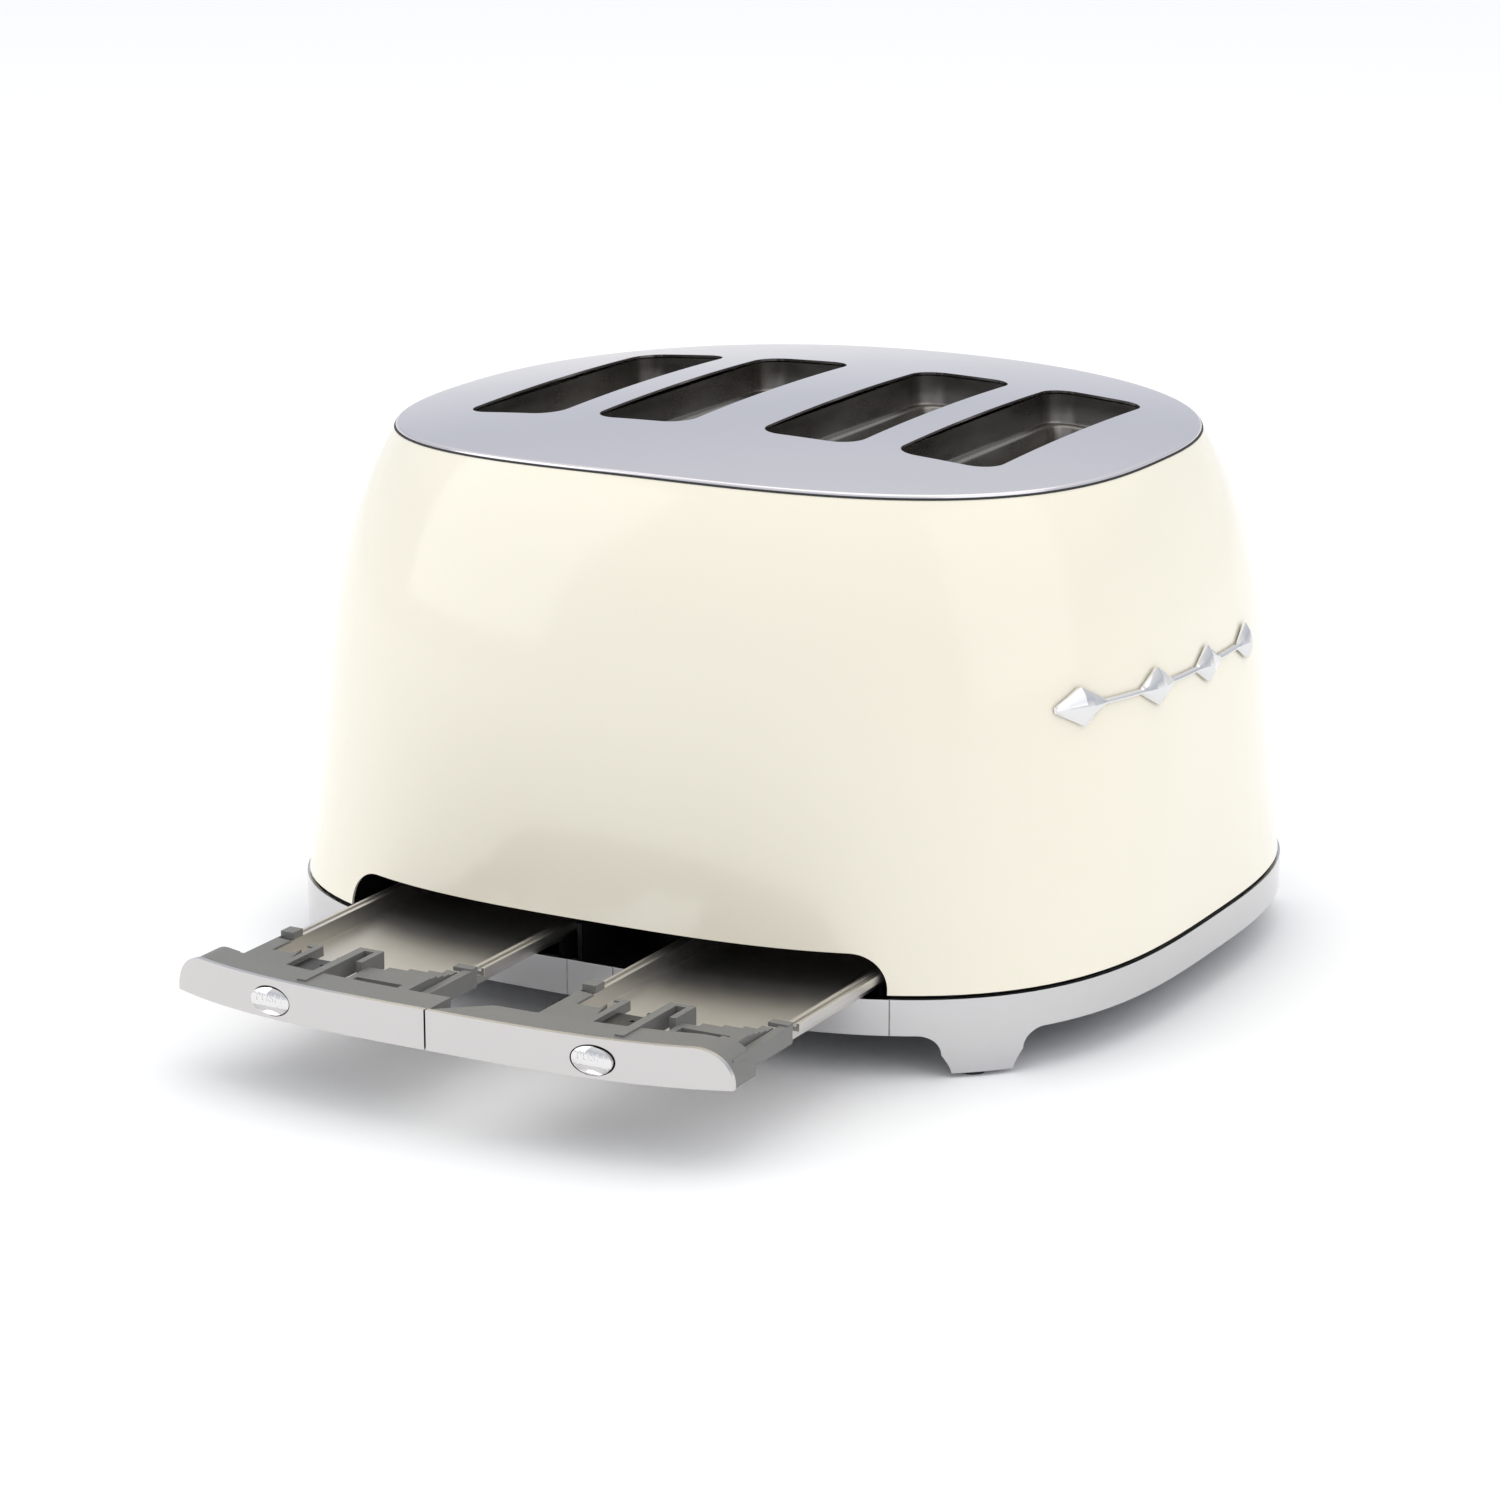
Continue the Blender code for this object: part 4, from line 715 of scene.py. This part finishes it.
ground_steel = Finish("ground_steel", metallic=1.0, roughness=0.15)
turned = ground_steel.noise(300.0, 3.0, 0.5, (1, 1, 6))
ground_steel.set("Base Color", ground_steel.mix(turned, (0.56, 0.56, 0.57), (0.68, 0.68, 0.69)))
ground_steel.set("Roughness", 0.12 + 0.14 * turned)
copper = Finish("copper_coil", metallic=1.0, roughness=0.3)
lacquer = copper.noise(260.0, 4.0)
copper.set("Base Color", copper.mix(lacquer, (0.46, 0.17, 0.06), (0.72, 0.34, 0.16)))
copper.bump(copper.noise(30.0, 2.0, 0.5, (1, 1, 90)), 0.0002, 0.8)
lever_chrome = chrome_finish("lever_chrome", (0.72, 0.715, 0.71), 0.05)
for side, sx in (("left", -1), ("right", 1)):
    lift = f"lift_{side}"
    carry(f"carriage_{side}", zinc.material)
    carry(f"guide_rod_{side}", ground_steel.material)
    carry(f"lifter_{side}_inner", zinc.material)
    carry(f"lifter_{side}_outer", zinc.material)

    low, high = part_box(f"lift_spring_{side}")
    gauge = 0.0006
    x, y = (low.x + high.x) / 2, (low.y + high.y) / 2
    coil = (high.x - low.x) / 2 - gauge
    turns, steps = 8, 192
    path = []
    for i in range(steps + 1):
        share = i / steps
        angle = 2 * math.pi * turns * share
        path.append((x + coil * math.cos(angle), y + coil * math.sin(angle),
                     low.z + gauge + (high.z - low.z - 2 * gauge) * share))
    bm = bmesh.new()
    tube(bm, path, gauge, 8)
    spring = new_piece(f"return_spring_{side}", bm, ground_steel.material,
                       replaces=(f"lift_spring_{side}",))
    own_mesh(spring)

    low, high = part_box(f"magnet_{side}")
    bm = bmesh.new()
    block(bm, (low.x + 0.003, low.y + 0.0005, low.z), (high.x - 0.003, high.y - 0.0005, high.z))
    core = new_piece(f"magnet_core_{side}", bm, zinc.material, replaces=(f"magnet_{side}",))
    bevel(core, 0.0004)
    middle_xy = ((low.x + high.x) / 2, (low.y + high.y) / 2)
    bm = bmesh.new()
    rings = []
    for share, out in ((0, 0.0), (0.02, 0.9), (0.1, 1.0), (0.9, 1.0), (0.98, 0.9), (1, 0.0)):
        z = low.z + 0.006 + (high.z - low.z - 0.010) * share
        grow = 0.0026 * (1 - out)
        rings.append([(u, v, z) for u, v in rounded(
            (high.x - low.x) / 2 - grow, (high.y - low.y) / 2 - grow * 0.2, 0.0022, middle_xy)])
    loft(bm, rings)
    new_piece(f"magnet_coil_{side}", bm, copper.material, slot=f"magnet_{side}")

    low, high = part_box(f"lever_knob_{side}")
    centre = tuple((low + high) / 2)
    ball = (high.x - low.x) / 2
    round_ball = ball * 0.985
    profile = [(0.0030, -ball * 0.90)]
    for i in range(24):
        angle = math.radians(-70 + (70 + 88) * i / 23)
        profile.append((round_ball * math.cos(angle), round_ball * math.sin(angle)))
    bm = bmesh.new()
    lathe(bm, profile, centre, "Y", 56)
    new_piece(f"lever_ball_{side}", bm, lever_chrome, body=lift,
              replaces=(f"lever_knob_{side}",), sharp=60)

# ------------------------------------------------------------------ controls
# On the lever side: a knurled chrome browning knob under each lever with ticks around it,
# two columns of three chromed push keys, and the circuit board behind them.

board = Finish("circuit_board", roughness=0.35)
lanes = board.node("ShaderNodeTexBrick", {"offset": 0.37}, {
    "Vector": board.place(), "Scale": 260.0, "Mortar Size": 0.03,
    "Color1": (0.02, 0.16, 0.07, 1), "Color2": (0.015, 0.12, 0.05, 1),
    "Mortar": (0.03, 0.22, 0.10, 1)})
board.set("Base Color", lanes)
board.bump(board.node("ShaderNodeRGBToBW", {}, {0: lanes}), 0.00004, 0.4)
carry("control_board", board.material)

knob_chrome = chrome_finish("knob_chrome", (0.72, 0.715, 0.71), 0.06)
mark_black = Finish("mark_black", base_color=(0.02, 0.02, 0.02), roughness=0.4)
mark_black.set("Roughness", 0.3 + 0.3 * mark_black.noise(200.0))
for side in ("left", "right"):
    name = f"browning_knob_{side}"
    low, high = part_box(name)
    radius = (high.x - low.x) / 2
    x, z = (low.x + high.x) / 2, (low.z + high.z) / 2
    face, back_y = high.y, high.y - 0.0130
    bm = bmesh.new()
    rings = []
    knurls = 48
    count = 4 * knurls
    for share, along, ridge in ((0.20, 0.0, 0), (0.96, 0.0, 0), (1.0, 0.0006, 0.4),
                                (1.0, 0.0014, 1.0), (0.955, 0.0102, 1.0), (0.95, 0.0112, 0.3),
                                (0.925, 0.0124, 0), (0.88, 0.0130, 0), (0.84, 0.0130, 0),
                                (0.80, 0.0124, 0), (0.50, 0.0119, 0), (0.10, 0.0117, 0)):
        ring = []
        for i in range(count):
            angle = 2 * math.pi * i / count
            wave = 0.5 + 0.5 * math.cos(knurls * angle)
            r = radius * share - 0.0005 * ridge * wave
            ring.append((x + r * math.cos(angle), back_y + along, z + r * math.sin(angle)))
        rings.append(ring)
    loft(bm, rings)
    new_piece(f"knurled_knob_{side}", bm, knob_chrome, body=f"browning_{side}",
              replaces=(name,), sharp=50)
    bm = bmesh.new()
    lathe(bm, [(0.0030, low.y - back_y), (0.0030, 0.0004)], (x, back_y, z), "Y", 24)
    new_piece(f"knob_shaft_{side}", bm, zinc.material, body=f"browning_{side}", slot=name)
    bm = bmesh.new()
    prism(bm, rounded(0.0007, 0.0042, 0.0006, (x, z + radius * 0.42)), face - 0.0013,
          face - 0.0006, "Y")
    new_piece(f"knob_pointer_{side}", bm, mark_black.material, body=f"browning_{side}", slot=name)
    bm = bmesh.new()
    for step in range(7):
        angle = math.radians(90 - 45 * step)
        along = Vector((math.cos(angle), 0, math.sin(angle)))
        across = Vector((-along.z, 0, along.x)) * 0.0005
        root = Vector((x, 0, z)) + along * (radius + 0.0030)
        tip = root + along * (0.0034 if step % 2 else 0.0022)
        corners = [root - across, tip - across, tip + across, root + across]
        loft(bm, [
            [(c.x, shell_face(c.x, c.z, "+Y") + lift_out, c.z) for c in corners]
            for lift_out in (-0.0002, 0.00025)
        ])
    new_piece(f"browning_ticks_{side}", bm, mark_black.material, sharp=None)
    for key in (1, 2, 3):
        name = f"button_{side}_{key}"
        low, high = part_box(name)
        centre = ((low.x + high.x) / 2, high.y, (low.z + high.z) / 2)
        cap = 0.0050
        depth = high.y - low.y
        bm = bmesh.new()
        lathe(bm, [(cap * 0.70, -depth), (cap * 0.72, -0.0085), (cap, -0.0085),
                   (cap, -0.0008), (cap * 0.94, -0.0002), (cap * 0.86, 0.0),
                   (cap * 0.78, -0.0003), (cap * 0.45, -0.0007), (cap * 0.1, -0.0008)],
              centre, "Y", 40)
        lathe(bm, [(cap * 0.9, -0.0068), (cap * 1.3, -0.0068), (cap * 1.3, -0.0055),
                   (cap * 0.9, -0.0055)], centre, "Y", 40)
        new_piece(f"key_cap_{side}_{key}", bm, knob_chrome, body=f"key_{side}_{key}",
                  replaces=(name,), sharp=50)

# ------------------------------------------------------------------ crumb trays
# Each tray is a pan of brushed steel with folded rails, clipped into a grey moulded frame,
# with a thin bowed front of chromed steel on it and an oval push button. Both frames are
# the same moulding, so both pans stand a little to the right of the tray's middle.

front_wall, low_z, arm_low_z, arm_top_z = 0.0020, 0.0297, 0.0318, 0.0385
rib_top_z, tall_rib_z, rail_wide, pan_wall = 0.0412, 0.0440, 0.0038, 0.0007
front_inset, frame_inset = 0.0005, 0.0012
beam_deep, beam_thin, beam_taper, beam_growth = 0.0150, 0.0012, 0.0170, 0.0138
front_chrome = chrome_finish("front_chrome", (0.60, 0.583, 0.572), 0.10)
push_chrome = chrome_finish("push_chrome", (0.76, 0.75, 0.745), 0.05)
grey = Finish("grey_moulding", roughness=0.5)
speckle = grey.noise(650.0, 3.0, 0.6)
cloud = grey.noise(18.0, 3.0)
grey.set("Base Color", grey.mix(cloud, (0.150, 0.149, 0.143), (0.190, 0.188, 0.181)))
grey.set("Roughness", 0.42 + 0.16 * speckle)
grey.bump(speckle, 0.00006, 0.45)
latch_black = Finish("latch_plate", metallic=0.7, roughness=0.3)
scuff = latch_black.noise(160.0, 5.0, 0.6)
latch_black.set("Base Color", latch_black.mix(scuff, (0.018, 0.019, 0.020), (0.07, 0.07, 0.07)))
latch_black.set("Roughness", 0.25 + 0.25 * scuff)
brushed = Finish("brushed_steel", metallic=1.0, roughness=0.35)
lines = brushed.noise(60.0, 4.0, 0.65, (40, 1, 8))
stain = brushed.noise(26.0, 5.0, 0.62)
brushed.set("Base Color", brushed.mix(stain, (0.60, 0.575, 0.55), (0.76, 0.745, 0.72)))
brushed.set("Roughness", 0.30 + 0.14 * lines)
brushed.bump(lines, 0.00003, 0.5)


def bow_y(x, inset=0.0):
    """The bowed outer face of the drawn-out tray fronts, at x."""
    bow = (1 - abs(x / base_half_x) ** base_power) ** (1 / base_power)
    return front_y + base_half_y * (1 - bow) + inset


def bowed(low_x, high_x, inset, thick):
    """A bar that follows the bow; thick gives its depth at an x."""
    count = 60
    places = [low_x + (high_x - low_x) * i / (count - 1) for i in range(count)]
    outer = [(x, bow_y(x, inset)) for x in places]
    inner = [(x, bow_y(x, inset + thick(x))) for x in places]
    bm = bmesh.new()
    prism(bm, outer + inner[::-1], low_z, arch_top + 0.01)
    return bm


def block_cutter(name, low, high):
    bm = bmesh.new()
    block(bm, low, high)
    return mesh_object(name, bm)


def frame_part(name, low_x, high_x, start, end, low, high):
    """A part of the moulding; a start of 0 roots it in the beam, and end is a depth behind
    the front's middle."""
    root = max(bow_y(low_x), bow_y(high_x)) + front_wall + 0.0040
    return block_cutter(name, (low_x, front_y + start if start else root, low),
                        (high_x, front_y + end, high))


def push_dome(edge_share):
    """How far the crowned push button stands out of the tray's front."""
    return 0.0006 + 0.0012 * (1 - edge_share ** 2.4)


front_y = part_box("tray_front_left")[0].y
word_rise = 0.0014
for side, sx in (("left", -1), ("right", 1)):
    pan_low, pan_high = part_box(f"tray_pan_{side}")
    push_low, push_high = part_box(f"push_button_{side}")
    middle = (pan_low.x + pan_high.x) / 2
    rail_half = (pan_high.x - pan_low.x) / 2
    pan_half = rail_half - rail_wide
    push_x, push_z = (push_low.x + push_high.x) / 2, (push_low.z + push_high.z) / 2
    push_u, push_v = (push_high.x - push_low.x) * 0.445, (push_high.z - push_low.z) * 0.48
    near, far = sorted((sx * 0.00035, sx * (arch_half + 0.01)))
    oval = [(push_x + (push_u + 0.0004) * math.cos(a), push_z + (push_v + 0.0004) * math.sin(a))
            for a in [2 * math.pi * i / 48 for i in range(48)]]

    bm = bowed(near, far, 0.0, lambda x: front_wall)
    front = new_piece(f"bowed_front_{side}", bm, front_chrome, body=f"tray_{side}",
                      replaces=(f"tray_front_{side}",))
    outline = arch(front_inset, 24)
    boolean(front, [prism_cutter("front_shape", outline, -0.4, 0.0, "Y")], "INTERSECT")
    boolean(front, [prism_cutter("push_hole", oval, -0.4, 0.0, "Y")])
    bevel(front, 0.0005, 3)

    behind = front_wall + 0.0003
    if side == "right":
        bm = bowed(near, far, behind, lambda x: beam_thin + beam_growth * min(1.0, x / beam_taper))
    else:
        bm = bowed(near, far, behind, lambda x: beam_deep)
    moulding_piece = new_piece(f"grey_frame_{side}", bm, grey.material, body=f"tray_{side}",
                               replaces=(f"tray_frame_{side}",))
    outline = arch(frame_inset, 24)
    boolean(moulding_piece, [prism_cutter("frame_shape", outline, -0.4, 0.0, "Y")], "INTERSECT")
    deck_z = pan_high.z + 0.0003
    left, wide = middle - pan_half, 2 * pan_half
    boolean(moulding_piece, [
        frame_part(name, left + low_x, left + high_x, *rest) for name, low_x, high_x, *rest in (
            ("left_arm", -rail_wide, -0.0003, 0, 0.0628, arm_low_z, arm_top_z),
            ("right_arm", wide + 0.0003, wide + rail_wide, 0, 0.0600, arm_low_z, arm_top_z),
            ("left_ledge", -0.0010, 0.0025, 0, 0.0560, deck_z, arm_top_z),
            ("left_clip", -rail_wide, 0.0016, 0.0590, 0.0650, deck_z, arm_top_z + 0.0018),
            ("right_clip", wide - 0.0040, wide + 0.0036, 0.0570, 0.0608, deck_z,
             arm_top_z + 0.0006),
            ("deck_left", 0.0004, 0.0170, 0, 0.0420, deck_z, deck_z + 0.0018),
            ("deck_step", 0.0130, 0.0200, 0, 0.0470, deck_z, deck_z + 0.0018),
            ("rib_pair_left", 0.0185, 0.0212, 0, 0.0490, deck_z, rib_top_z),
            ("rib_pair_hook", 0.0160, 0.0212, 0.0465, 0.0490, deck_z, rib_top_z),
            ("latch_bridge", 0.0200, 0.0370, 0, 0.0215, deck_z, 0.0424),
            ("rib_pair_right", 0.0362, 0.0380, 0, 0.0400, deck_z, rib_top_z),
            ("tall_rib", 0.0380, 0.0415, 0, 0.0470, deck_z, tall_rib_z),
            ("tall_rib_end", 0.0380, 0.0480, 0.0445, 0.0470, deck_z, tall_rib_z),
            ("tall_rib_wall", 0.0455, 0.0480, 0.0330, 0.0470, deck_z, tall_rib_z),
            ("deck_right", 0.0480, wide - 0.0004, 0, 0.0370, deck_z, rib_top_z),
            ("ramp_1", 0.0540, wide - 0.0004, 0.0240, 0.0410, deck_z, 0.0408),
            ("ramp_2", 0.0600, wide - 0.0004, 0.0240, 0.0450, deck_z, 0.0400),
            ("ramp_3", 0.0655, wide - 0.0004, 0.0240, 0.0490, deck_z, 0.0392),
            ("ramp_4", 0.0695, wide - 0.0004, 0.0240, 0.0540, deck_z, 0.0386),
        )
    ], "UNION")
    pockets = []
    beam_back = behind + 0.0158
    for name, pocket_low, pocket_high, start, deep, low in (
        ("left_pocket", 0.0025, 0.0165, 0.0, 0.0065, deck_z + 0.0006),
        ("latch_gap", 0.0212, 0.0362, 0.0010, 0.0300, deck_z - 0.001),
        ("right_pocket", 0.0505, 0.0690, 0.0, 0.0075, deck_z + 0.0006),
    ):
        start += bow_y(left + (pocket_low + pocket_high) / 2, beam_back) - front_y
        pockets.append(frame_part(name, left + pocket_low, left + pocket_high, start,
                                  start + deep, low, 0.05))
    notch_x, notch_y = left + 0.0165, front_y + 0.0420
    outline = [(notch_x - 0.0040, notch_y + 0.008), (notch_x - 0.0008, notch_y - 0.006),
               (notch_x + 0.0016, notch_y + 0.008)]
    pocket_end = bow_y(push_x) + front_wall + 0.0055
    pockets += [
        prism_cutter("v_notch", outline, deck_z - 0.001, 0.0405),
        block_cutter("clip_notch", (left - 0.0032, front_y + 0.0565, 0.0360),
                     (left + 0.0002, front_y + 0.0590, 0.05)),
        prism_cutter("push_pocket", oval, -0.4, pocket_end, "Y"),
    ]
    boolean(moulding_piece, pockets)
    bevel(moulding_piece, 0.00035)

    bm = bmesh.new()
    latch_z = deck_z + 0.0008
    block(bm, (left + 0.0214, front_y + 0.0185, latch_z), (left + 0.0368, front_y + 0.0405,
          latch_z + 0.0010))
    latch = new_piece(f"latch_plate_{side}", bm, latch_black.material, body=f"tray_{side}",
                      slot=f"tray_frame_{side}")
    hole = disc(0.0009, (left + 0.0300, front_y + 0.0350), 20)
    boolean(latch, [prism_cutter("latch_hole", hole, 0.03, 0.05)])
    bm = bmesh.new()
    lathe(bm, [(0.0002, 0), (0.0012, 0), (0.0012, 0.0016), (0.0009, 0.0022), (0.0002, 0.0024)],
          (left + 0.0345, front_y + 0.0392, latch_z + 0.0010), count=20)
    new_piece(f"latch_pin_{side}", bm, latch_black.material, body=f"tray_{side}",
              slot=f"tray_frame_{side}")

    bm = bmesh.new()
    block(bm, (left, pan_low.y, pan_low.z), (middle + pan_half, pan_high.y, pan_high.z))
    pan = new_piece(f"steel_pan_{side}", bm, brushed.material, body=f"tray_{side}",
                    replaces=(f"tray_pan_{side}",))
    rail_start = front_y + 0.0650
    rails = block_cutter("rails", (middle - rail_half, rail_start, pan_high.z - 0.0030),
                         (middle + rail_half, pan_high.y, pan_high.z))
    boolean(pan, [rails], "UNION")
    tools = [block_cutter(
        "pan_hollow", (left + pan_wall, pan_low.y + pan_wall, pan_low.z + pan_wall),
        (middle + pan_half - pan_wall, pan_high.y - pan_wall, pan_high.z + 0.01),
    )]
    for edge in (-1, 1):
        x = middle + edge * (pan_half + 0.0017)
        tools.append(block_cutter(
            f"rail_groove_{edge}", (x - 0.0008, rail_start - 0.01, pan_high.z - 0.0012),
            (x + 0.0008, pan_high.y + 0.01, pan_high.z + 0.01),
        ))
    slot = rounded(0.0042, 0.0012, 0.0006, (left + 0.0512, front_y + 0.0512), 3)
    boolean(pan, tools + [prism_cutter("pan_slot", slot, 0.02, 0.034)])
    bevel(pan, 0.00025)

    bm = bmesh.new()
    face_y = bow_y(push_x)
    rows, columns = 56, 40
    rings = []
    for row in range(rows + 1):
        v = -math.cos(math.pi * (row + 0.02) / (rows + 0.04))
        half_width = math.sqrt(1 - v * v)
        facing, rear = [], []
        for column in range(columns + 1):
            u = half_width * (2 * column / columns - 1)
            edge_share = math.sqrt(u * u + v * v)
            proud = push_dome(edge_share)
            scoop_line = -0.30 - 0.10 * u * u
            if v < scoop_line:
                proud -= 0.0030 * min(1.0, (scoop_line - v) * 14) * (1 - edge_share ** 6) * (
                    1 - min(1.0, (scoop_line - v) / 0.80) ** 1.3)
            facing.append((push_x + u * push_u, face_y - proud, push_z + v * push_v))
            rear.append((push_x + u * push_u, push_high.y, push_z + v * push_v))
        rings.append(facing + rear[::-1])
    loft(bm, rings)
    new_piece(f"oval_push_{side}", bm, push_chrome, body=f"push_{side}",
              replaces=(f"push_button_{side}",), sharp=45)
    words = bpy.data.curves.new(f"push_word_{side}", "FONT")
    words.body = "PUSH"
    words.size = 0.0044
    words.align_x, words.align_y = "CENTER", "CENTER"
    words.extrude = 0.00035
    words.space_character = 1.08
    drawn = bpy.data.objects.new(f"push_word_curve_{side}", words)
    bpy.context.scene.collection.objects.link(drawn)
    bpy.context.view_layer.update()
    mesh = bpy.data.meshes.new_from_object(
        drawn.evaluated_get(bpy.context.evaluated_depsgraph_get()))
    bpy.data.objects.remove(drawn)
    bm = bmesh.new()
    bm.from_mesh(mesh)
    bpy.data.meshes.remove(mesh)
    for vert in bm.verts:
        u, v, w = vert.co
        dome = push_dome(math.hypot(u / push_u, (v + word_rise) / push_v))
        vert.co = (push_x + u, face_y - dome - w * 0.5, push_z + v + word_rise)
    new_piece(f"push_word_{side}", bm, push_chrome, body=f"push_{side}",
              slot=f"push_button_{side}", sharp=None)

# ------------------------------------------------------------------ side ornament
# Four plain crowned lozenges of chromed zinc on a thin strip, bent to the shell's right side.

badge_low, badge_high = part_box("badge")
badge_z = (badge_low.z + badge_high.z) / 2
badge_start, badge_long = badge_low.y, badge_high.y - badge_low.y
lozenges, lozenge_long = 4, 0.0200
pitch = (badge_long - lozenge_long) / (lozenges - 1)
half_tall, half_strip = (badge_high.z - badge_low.z) / 2, 0.0011
badge_out = 0.0032
bm = bmesh.new()
rings = []
steps = 200
for step in range(steps + 1):
    y = badge_start + badge_long * step / steps
    offset = min(abs(y - badge_start - lozenge_long / 2 - pitch * i) for i in range(lozenges))
    share = max(0.0, 1 - offset / (lozenge_long / 2))
    half = half_strip + (half_tall - half_strip) * share
    crest = badge_out * (0.42 + 0.58 * share)
    ring = []
    for v, out in ((-1, -0.0001), (-1, crest * 0.30), (-0.55, crest * 0.80), (0, crest),
                   (0.55, crest * 0.80), (1, crest * 0.30), (1, -0.0001)):
        z = badge_z + v * half
        ring.append((shell_face(y, z, "+X") + 0.0003 + out, y, z))
    rings.append(ring)
loft(bm, rings)
new_piece("lozenge_strip", bm, chrome_finish("ornament_chrome", (0.74, 0.735, 0.73), 0.05),
          replaces=("badge",), sharp=20)

# ------------------------------------------------------------------ camera, floor and light
# A pale sweep of floor, one large soft light from each side and a cool sky over the far side.

camera = bpy.data.objects.new("camera", bpy.data.cameras.new("camera"))
bpy.context.scene.collection.objects.link(camera)
bpy.context.scene.camera = camera
camera.location = (0.79172, -1.48989 + body_y, 0.53793)
right = Vector((0.87796, 0.47873, -0.0002)).normalized()
up = Vector((-0.12786, 0.23493, 0.96357)).normalized()
back = right.cross(up).normalized()
camera.rotation_mode = "QUATERNION"
camera.rotation_quaternion = Matrix((right, up, back)).transposed().to_quaternion()
camera.data.sensor_width = 36.0
camera.data.lens = 109.4472
camera.data.clip_end = 50

bm = bmesh.new()
bmesh.ops.create_grid(bm, x_segments=1, y_segments=1, size=12)
floor = mesh_object("floor", bm)
paper = Finish("white_paper", base_color=(0.97, 0.972, 0.98), roughness=0.9)
floor.data.materials.append(paper.material)


def soft_light(name, place, size, power):
    """A soft panel of light that faces the toaster."""
    data = bpy.data.lights.new(name, "AREA")
    data.shape = "RECTANGLE"
    data.size, data.size_y = size
    data.energy = power
    lamp = bpy.data.objects.new(name, data)
    lamp.location = place
    aim = Vector((0, body_y, 0.1)) - Vector(place)
    lamp.rotation_euler = aim.to_track_quat("-Z", "Y").to_euler()
    bpy.context.scene.collection.objects.link(lamp)


soft_light("left_panel", (-2.2, -1.6, 1.3), (2.2, 2.2), 14)
soft_light("right_panel", (2.2, -0.4, 1.2), (2.0, 2.2), 7.5)
soft_light("over_panel", (0.1, 0.4, 2.6), (3.0, 3.0), 16)

world = bpy.data.worlds.new("studio")
bpy.context.scene.world = world
world.use_nodes = True
sky = world.node_tree
background = sky.nodes["Background"]
direction = add_node(sky, "ShaderNodeTexCoord", output=0)
height = add_node(sky, "ShaderNodeSeparateXYZ", {}, {0: direction}, 2)
shade = add_node(sky, "ShaderNodeValToRGB", {"stops": [
    (0.0, (0.95, 0.95, 0.95)), (0.08, (0.80, 0.82, 0.86)), (0.22, (0.62, 0.65, 0.72)),
    (0.42, (0.80, 0.82, 0.86)), (0.75, (1.0, 1.0, 1.0)),
]}, {0: height})
sky.links.new(shade.socket, background.inputs["Color"])
background.inputs["Strength"].default_value = 1.02
bpy.context.scene.view_settings.view_transform = "Standard"
